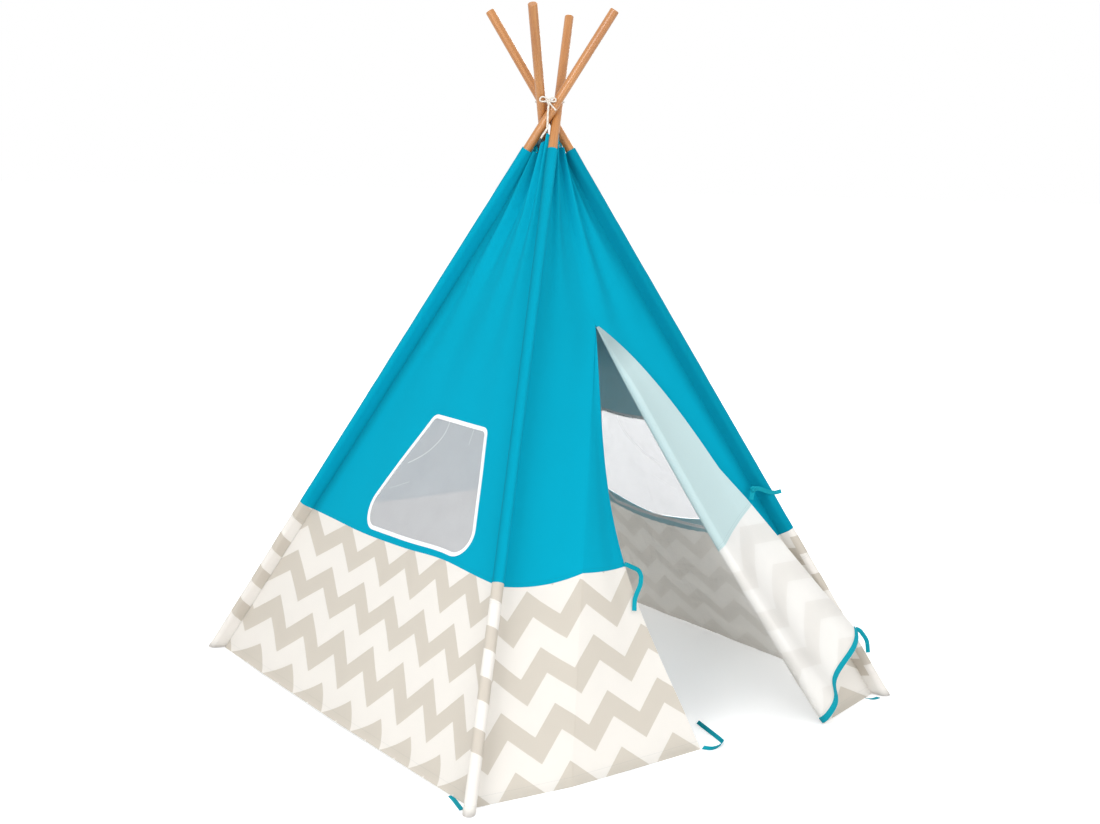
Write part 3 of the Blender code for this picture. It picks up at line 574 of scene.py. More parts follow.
def cotton(
    name, front, ink_colour=None, zigzag=None, light_through=0.24, curl=0.0,
    round_pole=False, shaded_side=0, shaded_top=False,
):
    """Plain-woven cotton, thin enough for some light to come through. With zigzag, it is printed:
    its waves for each metre along (square, straight and fixed part), a band's top height and the
    height of one band and gap. With curl, the print is drawn down and aside towards the hem.
    Cloth that goes round a pole is unprinted at the foot, and if plain has painted shade towards its sides in
    place of the bands along its edges. Other cloth has painted shade in a narrow band along its side edges,
    where it meets a sleeve, and a wall has a wider band of painted shade along the sleeve at its shaded side,
    -1 at its start and 1 at its end. With shaded_top, the painted shade instead grows darker towards the
    lashing."""
    shade = Shade(bpy.data.materials.new(name))
    place, u, v = shade.own_measure("cloth")
    thread = 0.0007
    woven = u.ridges(thread).larger(v.ridges(thread))
    slubs = shade.grain(shade.stretched(place, (30, 1100, 1)), 1.0, 2) * 0.5
    slubs = slubs + shade.grain(shade.stretched(place, (1100, 30, 1)), 1.0, 2) * 0.5
    cloudy = shade.grain(place, 6.0, 3)
    tone = (woven * 0.25 + slubs * 0.5 + cloudy * 0.35).smaller(1.0)
    dark, light = (tuple(channel * share for channel in front) for share in (0.90, 1.06))
    cloth = shade.blend(tone, dark, light)
    if zigzag:
        (square, straight, fixed), band_top, period = zigzag
        curl_height, plain_foot = 0.062, 0.068
        near_hem = v.fading(curl_height)
        along = u + near_hem * near_hem * curl
        waves = along * along * square + along * straight + fixed
        crest = abs(waves.fraction() * 2 - 1)
        wander = shade.grain(place, 90, 2) * 0.0012
        printed = v + ((0.20 - v) / 0.13).larger(0).smaller(1) * (curl * 0.43)
        down = (band_top + wander - zigzag_rise * (1 - crest) - printed) / period
        inked = down.fraction() < zigzag_band
        if round_pole:
            inked = inked * (v > plain_foot)
        dark_ink, light_ink = (tuple(channel * share for channel in ink_colour) for share in (0.93, 1.05))
        cloth = shade.blend(inked, cloth, shade.blend(tone, dark_ink, light_ink))
    edge_reach = base_half - v * (base_half / crossing_height * math.cos(wall_slope)) - abs(u)
    half_thread, stitch_step, stitch_share = 0.0005, 0.0034, 0.68
    seam_rows, hem_row, edge_row = (0.0035, 0.0085), 0.019, 0.004
    rows = abs(v - hem_row) < half_thread
    for seam_row in seam_rows:
        rows = rows.larger(abs(v - seam_rise - seam_row) < half_thread)
    side_rows = abs(edge_reach - edge_row) < half_thread
    stitched = rows * ((u / stitch_step).fraction() < stitch_share)
    stitched = stitched.larger(side_rows * ((v / stitch_step).fraction() < stitch_share))
    # Painted shade: a narrow band darker along each side edge, where the cloth meets a sleeve, and a wider
    # band along the sleeve at the shaded side.
    edge_shade_reach, side_shade_reach = 0.008, 0.045
    tucked = abs(edge_reach).fading(edge_shade_reach) * 0.35
    if shaded_side:
        tucked = tucked.larger(abs(edge_reach).fading(side_shade_reach) * (u * shaded_side > 0) * 0.6)
    # Painted shade on the lining: darker towards the lashing, where the cloth hangs in shadow, in place of
    # the bands along the edges.
    if shaded_top:
        top_shade_from, top_shade_over = 0.84, 0.14
        tucked = ((v - top_shade_from) / top_shade_over).larger(0).smaller(0.55)
    # Painted shade on a plain sleeve: lighter at the middle of its outer side and darker towards the walls on
    # both sides.
    if round_pole and not zigzag:
        unshaded_half, darkest_shade = 0.013, 0.022
        tucked = (abs((u + 0.5).fraction() - 0.5) - unshaded_half).larger(0).smaller(darkest_shade) * 20
    # The colour of the painted shade, and that of the sewing thread.
    painted_shade_colour, sewing_thread = tuple(channel * 0.42 for channel in front), (0.02, 0.10, 0.14)
    cloth = shade.blend(stitched * 0.22, shade.blend(tucked, cloth, painted_shade_colour), sewing_thread)
    normal = shade.relief(0.35, 0.0003, woven + slubs * 0.8 - stitched * 3)
    surface = shade.principled(
        {"Base Color": cloth, "Roughness": 0.9, "Specular IOR Level": 0.08, "Normal": normal}
    )
    through = shade.node("ShaderNodeBsdfTranslucent", {}, {"Color": front, "Normal": normal})
    return shade.done(shade.mixed(light_through, surface, through))


# Painted shade along the sleeve: at the start of the walls' turquoise and at the end of the door's. The
# lining's painted shade grows towards the top, and the plain sleeve's towards its sides.
turquoise_cotton = cotton("turquoise_cotton", turquoise_front, shaded_side=-1)
turquoise_door = cotton("turquoise_door", turquoise_front, shaded_side=1)
turquoise_lining = cotton("turquoise_reverse", turquoise_back, shaded_top=True)
sleeve_zigzag = ((0, 2.5, 0.25), 0.291, 0.104)
sleeve_print = cotton("sleeve_print", print_white, print_grey, sleeve_zigzag, round_pole=True)
sleeve_turquoise = cotton("turquoise_sleeve", turquoise_front, round_pole=True)


def sleeve_section(reach, arc_steps=28, side_steps=3, tip_steps=4):
    """Points round the sleeve as (inward, sideways): the pole's arc, then in to the stitches."""
    centre = reach - sleeve_tip
    tangent = math.acos(max(-1, min(1, (sleeve_radius - sleeve_tip) / centre)))
    arc, tip = [], []
    for step in range(arc_steps + 1):
        angle = tangent + (2 * math.pi - 2 * tangent) * step / arc_steps
        arc.append(Vector((sleeve_radius * math.cos(angle), sleeve_radius * math.sin(angle))))
    for step in range(tip_steps + 1):
        angle = -tangent + 2 * tangent * step / tip_steps
        tip.append(Vector((centre + sleeve_tip * math.cos(angle), sleeve_tip * math.sin(angle))))
    outgoing = [arc[-1].lerp(tip[0], step / side_steps) for step in range(1, side_steps)]
    returning = [tip[-1].lerp(arc[0], step / side_steps) for step in range(1, side_steps)]
    return arc + outgoing + tip + returning + [arc[0]]


def distance_at(corner, height, reach):
    """How far up the pole its stitch line reaches a height."""
    return (height - corner.inward.z * (reach - sleeve_tip)) / corner.along.z


def cloth_object(name, bm, outward, materials, thickness=cloth_thickness, offset=0.0):
    """The sheet with its thickness, its first material on the outside."""
    facing = sum((face.normal * face.calc_area() for face in bm.faces), Vector())
    if outward is not None and facing.dot(outward) < 0:
        bmesh.ops.reverse_faces(bm, faces=bm.faces)
    for edge in bm.edges:
        edge.smooth = not edge.is_boundary
    made = finished(name, bm, materials)
    shell = made.modifiers.new("thickness", "SOLIDIFY")
    shell.thickness = thickness
    shell.offset = offset
    shell.material_offset = 1 if len(materials) > 1 else 0
    return made


def flat_grid(columns, low, high, rows_at):
    """A grid in the cloth's own plane: share across, and height up at the given rows."""
    bm = bmesh.new()
    bmesh.ops.create_grid(bm, x_segments=columns, y_segments=len(rows_at) - 1, size=1)
    for vert in bm.verts:
        share = low + (high - low) * (vert.co.x + 1) / 2
        vert.co = (share, rows_at[round((vert.co.y + 1) / 2 * (len(rows_at) - 1))], 0)
    return bm


def hang(bm, place, measure):
    """Takes the sheet from its own plane to its place, and keeps its cloth measure as UV."""
    keep_measure(bm, "cloth", measure)
    for vert in bm.verts:
        vert.co = place(vert.co.x, vert.co.y)
    bm.normal_update()
    return bm


def flat_cut(bm):
    """The smallest oblong that the flat cut comes out of, and its area, from its cloth measure."""
    uv = bm.loops.layers.uv["cloth"]
    places = {tuple(loop[uv].uv) for face in bm.faces for loop in face.loops}
    oblongs = []
    for step in range(36):
        c, s = math.cos(math.pi * step / 36), math.sin(math.pi * step / 36)
        across, along = [x * c + y * s for x, y in places], [y * c - x * s for x, y in places]
        oblongs.append((max(across) - min(across), max(along) - min(along)))
    width, length = min(oblongs, key=lambda sides: sides[0] * sides[1])
    area = 0
    for face in bm.faces:
        at = [loop[uv].uv for loop in face.loops]
        area += abs(sum(a.x * b.y - b.x * a.y for a, b in zip(at, at[1:] + at[:1]))) / 2
    return (width, length), area


def steps_between(stops, counts):
    """Heights from stop to stop, in the given number of even steps between each two."""
    heights = [stops[0]]
    for low, high, count in zip(stops, stops[1:], counts):
        heights += [low + (high - low) * (step + 1) / count for step in range(count)]
    return heights


def sleeve_piece(corner, part, low, high, rows):
    taper = distance_at(corner, sleeve_taper_height, sleeve_reach)
    top = distance_at(corner, cover_top, sleeve_top_reach)
    columns = len(sleeve_section(sleeve_reach)) - 1
    pocket_rows = 5 if part == "lower" else 0
    rows_at = [-(pocket_rows - step) / pocket_rows for step in range(pocket_rows)]
    rows_at += steps_between((low, high), (rows,))
    bm = flat_grid(columns, 0, columns, rows_at)

    def place(column, distance):
        tucked = max(0, -distance)
        distance = max(low, distance)
        share = max(0, min(1, (distance - taper) / (top - taper)))
        reach = sleeve_reach + (sleeve_top_reach - sleeve_reach) * share
        inward, sideways = sleeve_section(reach)[round(column)]
        pucker = noise.noise(Vector((inward * 60, sideways * 60, distance * 22 + corner.foot.x * 9)))
        swell = 1 + 0.035 * pucker * min(1, (high - distance) / 0.01 + 0.3)
        inward, sideways = inward * swell * (1 - tucked), sideways * swell * (1 - tucked)
        at = corner.foot + corner.inward * inward + corner.side * sideways
        if part == "lower":
            blend_up = max(0, 1 - (distance - low) / 0.05)
            level = -at.z / corner.along.z
            distance = distance + level * blend_up
            rounding = 0.0022 * (1 - math.cos(min(1, tucked * 2) * math.pi / 2)) if tucked else 0.0022
            at = at + corner.along * distance
            at.z = max(at.z, 0.0022 - rounding if tucked else 0.0022 * blend_up)
            return at
        return at + corner.along * distance

    runs = runs_along(sleeve_section(sleeve_reach))
    begins = 0.033 if corner == front_right else 0.0

    def measure(column, distance):
        return (runs[round(column)] - runs[-1] / 2 + 2, max(low, distance) + begins)

    hang(bm, place, measure)
    bmesh.ops.remove_doubles(bm, verts=bm.verts, dist=0.00002)
    bmesh.ops.recalc_face_normals(bm, faces=bm.faces)
    cover = sleeve_turquoise if part == "upper" else sleeve_print
    made = cloth_object(f"corner_{part}_{corner.name}", bm, None, [cover], 0.001, -1)
    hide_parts(f"sleeve_{part}_{corner.name}")
    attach(made, corner.body)
    high - low


for corner in corners:
    seam_distance = distance_at(corner, seam_height, sleeve_reach)
    sleeve_piece(corner, "lower", 0, seam_distance, 24)
    sleeve_piece(corner, "upper", seam_distance, distance_at(corner, cover_top, sleeve_top_reach), 60)


# Walls: an upper panel of turquoise cotton seamed to a lower one of zigzag print, stretched
# between two sleeves, gathered in soft folds under the lashing and hemmed at the floor.
hem_height = 0.0006
fold_start, fold_depth, top_peak = 0.78, 0.0125, 0.045


def hump(share):
    """0 at both ends and 1 in the middle."""
    return 4 * share * (1 - share)


def droop_at(height):
    """How much cloth sags at a height: all at the seam, none at the hem and the top."""
    if height < seam_height:
        return height / seam_height
    return (cover_top - height) / (cover_top - seam_height)


def stitch_at(corner, height):
    """The stitch line's point at a height: straight, then drawn in above the taper."""

    def at(level, reach):
        distance = distance_at(corner, level, reach)
        return corner.foot + corner.along * distance + corner.inward * (reach - sleeve_tip)

    taper = at(sleeve_taper_height, sleeve_reach)
    if height <= sleeve_taper_height:
        return at(0, sleeve_reach).lerp(taper, height / taper.z)
    top = at(cover_top, sleeve_top_reach)
    return taper.lerp(top, (height - taper.z) / (top.z - taper.z))


class Wall:
    """One side of the tent, from one corner's stitch line to the next one's."""

    def __init__(self, name, start, end, bulge=0.0, droop=0.0, flare=0.0, seed=0.0, peak_share=0.5, wave=0.0):
        self.name, self.start, self.end = name, start, end
        self.peak_share, self.wave = peak_share, wave
        self.bulge, self.droop, self.flare, self.seed = bulge, droop, flare, seed
        self.across = (end.foot - start.foot).normalized()
        level = Vector((self.across.y, -self.across.x, 0))
        self.out = level * math.cos(wall_slope) + Vector((0, 0, math.sin(wall_slope)))
        self.up = self.out.cross(self.across)
        if self.up.z < 0:
            self.up = -self.up

    def halves(self):
        """For each half its corner, where it begins and ends, and the way along it from the pole."""
        return (self.start, 0.0, 0.5, self.across), (self.end, 0.5, 1.0, -self.across)

    def edges(self, height):
        a, b = stitch_at(self.start, height), stitch_at(self.end, height)
        inset = (b - a).normalized() * (sleeve_tip - 0.0006)
        return a + inset, b - inset

    def drawn(self, share):
        """The top edge is drawn up between the poles, at one side where the rope pulls it."""
        if self.peak_share < 0.5:
            return hump((1 - share) ** (math.log(0.5) / math.log(1 - self.peak_share))) ** 2
        return hump(share ** (math.log(0.5) / math.log(self.peak_share))) ** 2

    def waved(self, share, height):
        """The seam's slight wave, which the cloth on both sides of it takes part in."""
        crest = math.exp(-(((share - 0.74) / 0.15) ** 2)) - 0.4 * math.exp(-(((share - 0.30) / 0.15) ** 2))
        return self.wave * crest * math.exp(-(((height - seam_height) / 0.09) ** 2))

    def folds(self, share, height):
        """Soft folds that run down from the gathered top, and the faint creases of use."""
        gathered = max(0, (height - fold_start) / (cover_top - fold_start))
        ripple = math.sin(4 * math.pi * share) * hump(share) ** 2
        ripple += 0.55 * math.sin(10 * math.pi * share + self.seed * 5) * hump(share) ** 1.2
        long_fold = max(0, (height - 0.42) / (cover_top - 0.42)) ** 1.2
        along_fold = 0.0055 * long_fold * math.sin(7 * math.pi * share + self.seed * 3 + height * 2)
        across = share * (1 - height / crossing_height) * 2 * base_half
        soft = 0.0028 * noise.noise(Vector((across * 5 + self.seed * 7, height * 2.2, self.seed)))
        soft += 0.0011 * noise.noise(Vector((across * 15 + self.seed * 3, height * 7, 4 + self.seed)))
        return fold_depth * gathered**1.5 * ripple + (along_fold + soft) * min(1, hump(share) * 2.2)

    def point(self, share, height):
        a, b = self.edges(height)
        peaked = max(0, (height - sleeve_taper_height) / (cover_top - sleeve_taper_height))
        lift = top_peak * peaked * self.drawn(share) - self.droop * droop_at(height) * hump(share)
        lift += self.waved(share, height)
        drape = math.sin(math.pi * max(0, min(1, height / cover_top)))
        flared = self.flare * max(0, 1 - height / seam_height) * hump(share)
        puckered = 0.0012 * math.exp(-((height - seam_height) / 0.012) ** 2)
        puckered *= math.sin(share * 2 * math.pi * 23 + self.seed)
        hem = 0.0007 * max(0, 1 - abs(height - 0.012) / 0.006)
        push = self.bulge * hump(share) * drape + flared + self.folds(share, height)
        return a.lerp(b, share) + self.out * (push + puckered * hump(share) - hem) + Vector((0, 0, lift))

    def measure(self, share, height):
        """Metres across from the panel's middle, and metres up the cloth."""
        width = 2 * base_half * (1 - height / crossing_height)
        return (share - 0.5) * width, height / math.cos(wall_slope)

    def spot(self, target):
        """The share and height whose point lies straight in or out from the target, but for the wave."""
        share, height = 0.5, target.z
        for _ in range(12):
            at = self.point(share, height) - Vector((0, 0, self.waved(share, height)))
            a, b = self.edges(height)
            share += (target - at).dot(self.across) / (b - a).dot(self.across)
            height += (target - at).dot(self.up) * math.cos(wall_slope)
        return Vector((share, height, 0))


def sewn(piece, corner, toward, body, node):
    """The piece, in a mesh of its own, moves with its body in place of the part it stands for. It is sewn on
    at the corner's stitch line."""
    axis = (toward - corner.along * toward.dot(corner.along)).normalized()
    stitched = corner.foot + corner.inward * (sleeve_reach - sleeve_tip)
    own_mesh(piece)
    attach(piece, body)
    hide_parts(node)


left_wall = Wall("left", back_left, front_left, 0.004, 0.004, 0.015, seed=0.3, peak_share=0.8, wave=0.011)
right_wall = Wall("right", front_right, back_right, -0.028, 0.045, seed=1.7)
back_wall = Wall("back", back_right, back_left, -0.006, 0.006, seed=2.9)
door_wall = Wall("door", front_left, front_right, 0, 0.012, seed=4.1, peak_share=0.25)

wall_zigzags = {
    "left": ((2.295, 6.850, 1.472), 0.430, zigzag_period),
    "right": ((0, 7.0, 0.3), 0.425, zigzag_period),
    "back": ((0, 7.0, 0.5), 0.425, zigzag_period),
    "door": ((-1.82, 6.425, 3.419), 0.4095, zigzag_period),
}
prints, print_backs = {}, {}
for name, zigzag in wall_zigzags.items():
    curl = 0.028 if name == "left" else 0.0
    prints[name] = cotton(f"zigzag_print_{name}", print_white, print_grey, zigzag, 0.34, curl)
    print_backs[name] = cotton(f"zigzag_reverse_{name}", print_back_white, print_back_grey, zigzag, 0.34)

lower_rows = steps_between((hem_height, 0.018, 0.36, seam_height), (4, 16, 4))
upper_rows = steps_between((seam_height, 0.41, sleeve_taper_height, cover_top), (4, 44, 14))


def outlined(wall, inset, window):
    """The window's outline at a distance inside its edge, in the wall's own plane."""
    bottom, top, half_bottom, half_top, shift, lean, rounds = window
    points = [
        Vector((-half_bottom, bottom)), Vector((half_bottom, bottom)),
        Vector((half_top, top)), Vector((-half_top, top)),
    ]
    moved = []
    for index, here in enumerate(points):
        before, after = points[index - 1], points[(index + 1) % 4]
        into, out_of = (here - before).normalized(), (after - here).normalized()
        bisector = Vector((-into.y - out_of.y, into.x + out_of.x)).normalized()
        moved.append(here + bisector * (inset / bisector.dot(Vector((-into.y, into.x)))))
    outline = []
    for index, here in enumerate(moved):
        back = (moved[index - 1] - here).normalized()
        ahead = (moved[(index + 1) % 4] - here).normalized()
        half_angle = back.angle(ahead) / 2
        radius = rounds[index] - inset
        middle = here + (back + ahead).normalized() * (radius / math.sin(half_angle))
        first = here + back * radius / math.tan(half_angle) - middle
        turn = math.pi - 2 * half_angle
        for step in range(13):
            outline.append(middle + Matrix.Rotation(turn * step / 12, 2) @ first)
    dense = []
    for index, here in enumerate(outline):
        after = outline[(index + 1) % len(outline)]
        count = 14 if index % 13 == 12 else 1
        dense += [here.lerp(after, step / count) for step in range(count)]
    lower = wall.point(0.5, bottom) + wall.across * shift
    upper = wall.point(0.5, top) + wall.across * (shift + lean)
    upward = (upper - lower) / (top - bottom)
    return [wall.spot(lower + wall.across * at.x + upward * (at.y - bottom)) for at in dense]


def cut_along(bm, outline):
    """Cuts the flat sheet along a convex outline and gives the faces inside it."""
    inside = bm.faces[:]
    for a, b in zip(outline, outline[1:] + outline[:1]):
        normal = Vector((b.y - a.y, a.x - b.x, 0))
        if normal.length < 1e-9:
            continue
        edges = {edge for face in inside for edge in face.edges}
        verts = {vert for face in inside for vert in face.verts}
        cut = bmesh.ops.bisect_plane(
            bm, geom=inside + list(edges) + list(verts), dist=1e-7, plane_co=a, plane_no=normal
        )
        found = {item for item in cut["geom"] if isinstance(item, bmesh.types.BMFace)}
        inside = [face for face in found if (face.calc_center_median() - a).dot(normal) < 0]
    return inside


# Each window's bottom and top height, half widths there, shift from the wall's middle, lean of its
# top to the side, and the rounding of its four corners.
windows = {
    "left": (0.397, 0.672, 0.25, 0.107, 0.048, 0.022, (0.05, 0.05, 0.025, 0.025)),
    "right": (0.397, 0.672, 0.25, 0.107, 0.0, 0.0, (0.05, 0.05, 0.025, 0.025)),
}
half_columns = 26


def wall_halves(wall):
    for corner, low, high, toward in wall.halves():
        for part, rows in (("lower", lower_rows), ("upper", upper_rows)):
            bm = flat_grid(half_columns, low, high, rows)
            if part == "upper" and wall.name in windows:
                inside = cut_along(bm, outlined(wall, 0.002, windows[wall.name]))
                bmesh.ops.delete(bm, geom=inside, context="FACES")
            hang(bm, wall.point, wall.measure)
            faces = [turquoise_cotton, turquoise_lining]
            if part == "lower":
                faces = [prints[wall.name], print_backs[wall.name]]
            flat, area = flat_cut(bm)
            side = corner.name.split("_")[1] if wall.name == "back" else corner.name.split("_")[0]
            panel = cloth_object(f"{wall.name}_{part}_{side}", bm, wall.out, faces)
            sewn(panel, corner, toward, corner.body, f"wall_{wall.name}_{part}")


for wall in (left_wall, right_wall, back_wall):
    wall_halves(wall)


# Windows: fine white net sewn into a rounded opening in a wall, with white cotton bias tape
# folded over the raw edge and stitched down. Each is cut in two where its wall's halves meet.
def net_cloth():
    """Open net with three creases: one that bends down and aside from the top, a short one at the
    top and a slanting one low down."""
    shade = Shade(bpy.data.materials.new("window_net"))
    place, u, v = shade.own_measure("cloth")
    mesh_size = 0.0012
    strands = u.ridges(mesh_size).larger(v.ridges(mesh_size))
    cloudy = shade.grain(place, 14, 3)
    cover = 0.34 + (strands ** 6) * 0.14 + cloudy * 0.07
    below = 0.73 - v
    creases = abs(u - 0.030 - below * 0.296 + below * below * 9.55) < below * 0.011 + 0.0007
    creases = creases * (v > 0.606)
    creases = creases.larger((abs(u - 0.1345 - (v - 0.71) * -0.06) < 0.0007) * (v > 0.685))
    creases = creases.larger((abs(v - 0.551 - (u + 0.081) * 0.385) < 0.0006) * (abs(u + 0.081) < 0.039) * 0.5)
    creases = creases * (v < 0.738)
    net_white = (0.72, 0.73, 0.76)
    colour = shade.blend(creases, net_white, (0.95, 0.95, 0.95))
    fibre = shade.principled({"Base Color": colour, "Roughness": 0.6})
    through = shade.node("ShaderNodeBsdfTranslucent", {}, {"Color": net_white})
    open_weave = shade.node("ShaderNodeBsdfTransparent", {}, {"Color": (1.0, 1.0, 1.0)})
    lit = shade.mixed(0.32, fibre, through)
    return shade.done(shade.mixed(cover + creases * 0.2, open_weave, lit))


def bias_tape():
    shade = Shade(bpy.data.materials.new("bias_tape"))
    _, along, over = shade.own_measure("cloth")
    twill = (along + over).ridges(0.0009)
    stitched = (abs(over - 0.0066) < 0.0003) * ((along / 0.0032).fraction() < 0.7)
    colour = shade.blend(twill * 0.5 + 0.3, (0.78, 0.79, 0.80), (0.93, 0.93, 0.93))
    colour = shade.blend(stitched * 0.6, colour, (0.55, 0.56, 0.58))
    return shade.done(shade.principled({
        "Base Color": colour, "Roughness": 0.75, "Sheen Weight": 0.1,
        "Normal": shade.relief(0.5, 0.0002, twill - stitched),
    }))


window_net, white_tape = net_cloth(), bias_tape()
tape_reach = 0.0088


def window(wall):
    outer, inner = (outlined(wall, inset, windows[wall.name]) for inset in (0.0, tape_reach))
    net_edge = outlined(wall, tape_reach / 2, windows[wall.name])
    count = len(outer)
    runs = runs_along([wall.point(at.x, at.y) for at in outer + outer[:1]])
    for corner, low, high, toward in wall.halves():
        bm = flat_grid(half_columns, low, high, upper_rows)
        inside = set(cut_along(bm, net_edge))
        bmesh.ops.delete(bm, geom=[face for face in bm.faces if face not in inside], context="FACES")

        def slack(share, height):
            at = wall.point(share, height)
            sag = noise.noise(Vector((share * 16, height * 9, 2.5 + wall.seed)))
            return at + wall.out * (0.0016 * sag - 0.0008)

        hang(bm, slack, wall.measure)
        flat, area = flat_cut(bm)
        side = corner.name.split("_")[0]
        net = cloth_object(f"net_{wall.name}_{side}", bm, wall.out, [window_net], 0.0006)
        sewn(net, corner, toward, corner.body, f"window_net_{wall.name}")

        bm = flat_grid(count, 0, count, [0, 0.2, 0.4, 0.6, 0.8, 1])
        keep_measure(bm, "cloth", lambda place, reach: (runs[round(place)], reach * tape_reach))
        for vert in bm.verts:
            index, reach = round(vert.co.x) % count, vert.co.y
            vert.co = outer[index].lerp(inner[index], reach)
        bmesh.ops.remove_doubles(bm, verts=bm.verts, dist=1e-6)
        bmesh.ops.bisect_plane(
            bm, geom=bm.faces[:] + bm.edges[:] + bm.verts[:], dist=1e-7, plane_co=(0.5, 0, 0),
            plane_no=(1, 0, 0), clear_outer=low < 0.25, clear_inner=low > 0.25,
        )
        for vert in bm.verts:
            vert.co = wall.point(vert.co.x, vert.co.y)
        bm.normal_update()
        binding = cloth_object(f"binding_{wall.name}_{side}", bm, wall.out, [white_tape], 0.0026)
        rounded = binding.modifiers.new("rounded", "BEVEL")
        rounded.width, rounded.segments = 0.0008, 2
        sewn(binding, corner, toward, corner.body, f"window_binding_{wall.name}")


window(left_wall)
window(right_wall)


# Door: a fixed half beside each pole, joined above the opening, and a flap on each side of it.
# The left flap hangs closed. The right one is turned outwards on its fold and tied back.
slit_height = 0.894
slit_top = Vector((0.008004, -0.165880, 0.888890))
door_hem_y = -0.5600
left_foot, right_foot = Vector((-0.355, -0.588002, 0.0006)), Vector((0.338, -0.630002, 0.0006))
door_droop = 0.012
fold_bow = 0.017


def hinge_at(foot, height):
    share = (height - foot.z) / (slit_top.z - foot.z)
    at = foot.lerp(slit_top, share)
    if foot.x > 0:
        at.x -= fold_bow * math.sqrt(math.sin(math.pi * max(0, min(1, share))))
    return at


front_out = door_wall.out
fold_line = (slit_top - right_foot).normalized()
lay_height = seam_height * 2 / 3
lay_target = (
    front_right.foot + front_right.along * (lay_height / front_right.along.z)
    + front_out * (sleeve_radius + 0.012)
)
lay_direction = lay_target - right_foot
lay_direction = (lay_direction - fold_line * lay_direction.dot(fold_line)).normalized()
lay_out = lay_direction.cross(fold_line)
lay_out = lay_out if lay_out.y < 0 else -lay_out
fold_length = (slit_top - right_foot).length


def door_half(side):
    foot = left_foot if side < 0 else right_foot

    def place(share, height):
        outer = door_wall.edges(height)[0 if side < 0 else 1]
        if height >= slit_height:
            return door_wall.point(0.5 + side * share / 2, height)
        inner = hinge_at(foot, height)
        fall = door_droop * droop_at(height) * hump(share)
        across = 0.5 + side * share / 2
        near_slit = max(0, 1 - (slit_height - height) / 0.25)
        folds = door_wall.folds(across, height) * (share ** (1 - near_slit) if share > 0 else near_slit)
        return inner.lerp(outer, share) - Vector((0, 0, fall)) + front_out * folds * hump((1 + share) / 2)

    return place


def door_measure(side):
    foot = left_foot if side < 0 else right_foot

    def measure(share, height):
        outer = door_wall.edges(height)[0 if side < 0 else 1]
        inner = foot.lerp(slit_top, min(1, (height - foot.z) / (slit_top.z - foot.z)))
        return inner.x + (outer.x - inner.x) * share, height / math.cos(wall_slope)

    return measure


door_heights = (seam_height, 0.41, slit_height, sleeve_taper_height, cover_top)
door_upper_rows = steps_between(door_heights, (4, 26, 16, 14))


def hung(name, bm, outward, part, zigzag, corner, body, node, toward):
    """One part of the door's cloth, in its own print and lining."""
    faces = [turquoise_door, turquoise_lining]
    if part == "lower":
        faces = [prints[zigzag], print_backs[zigzag]]
    flat, area = flat_cut(bm)
    made = cloth_object(name, bm, outward, faces)
    sewn(made, corner, toward, body, node)


for side, corner, label in ((-1, front_left, "left"), (1, front_right, "right")):
    for part, rows in (("lower", lower_rows), ("upper", door_upper_rows)):
        bm = hang(flat_grid(18, 0, 1, rows), door_half(side), door_measure(side))
        hung(f"door_{part}_{label}", bm, front_out, part, "door", corner, corner.body,
             f"door_{label}_{part}", door_wall.across * -side)


def free_edge_x(side, height):
    """Where a flap's free edge is along the door, bowed by the cut of the cloth."""
    fallen = 1 - height / slit_top.z
    if side < 0:
        bow = -0.066 * math.sin(math.pi * fallen)
    else:
        bow = 0.025 * math.sin(math.pi * max(0, fallen) ** 1.4)
        bow -= 0.025 * math.sin(math.pi * min(1, fallen / 0.45))
    return slit_top.x * (1 - fallen) + bow


def closed_flap(side, share, height):
    """A point of the flap as it hangs closed: 0 on the fold line, 1 on the free edge."""
    foot, stands_out = (left_foot, 0.028) if side < 0 else (right_foot, 0.070)
    at = foot.lerp(slit_top, (height - foot.z) / (slit_top.z - foot.z))
    fallen = 1 - height / slit_top.z
    level = slit_top.y + (door_hem_y - slit_top.y) * fallen
    edge = Vector((free_edge_x(side, height), level - stands_out * fallen, height))
    return at.lerp(edge, share)


def left_flap(share, height):
    """The left flap as it hangs: the closed one, sagging a little inwards between its ends."""
    sag = 0.03 * share**2 * math.sin(math.pi * height / slit_top.z) ** 2
    droop = door_droop / 3 * droop_at(height) * hump(share)
    soft = 0.0022 * noise.noise(Vector((share * 2.6, height * 3.1, 8.2))) * min(1, share * 3)
    soft += 0.0035 * math.sin(share * 5 + height * 4) * share * max(0, min(1, (slit_top.z - height) * 4))
    return closed_flap(-1, share, height) - front_out * (sag - soft) - Vector((0, 0, droop))


roll_radius = 0.0105


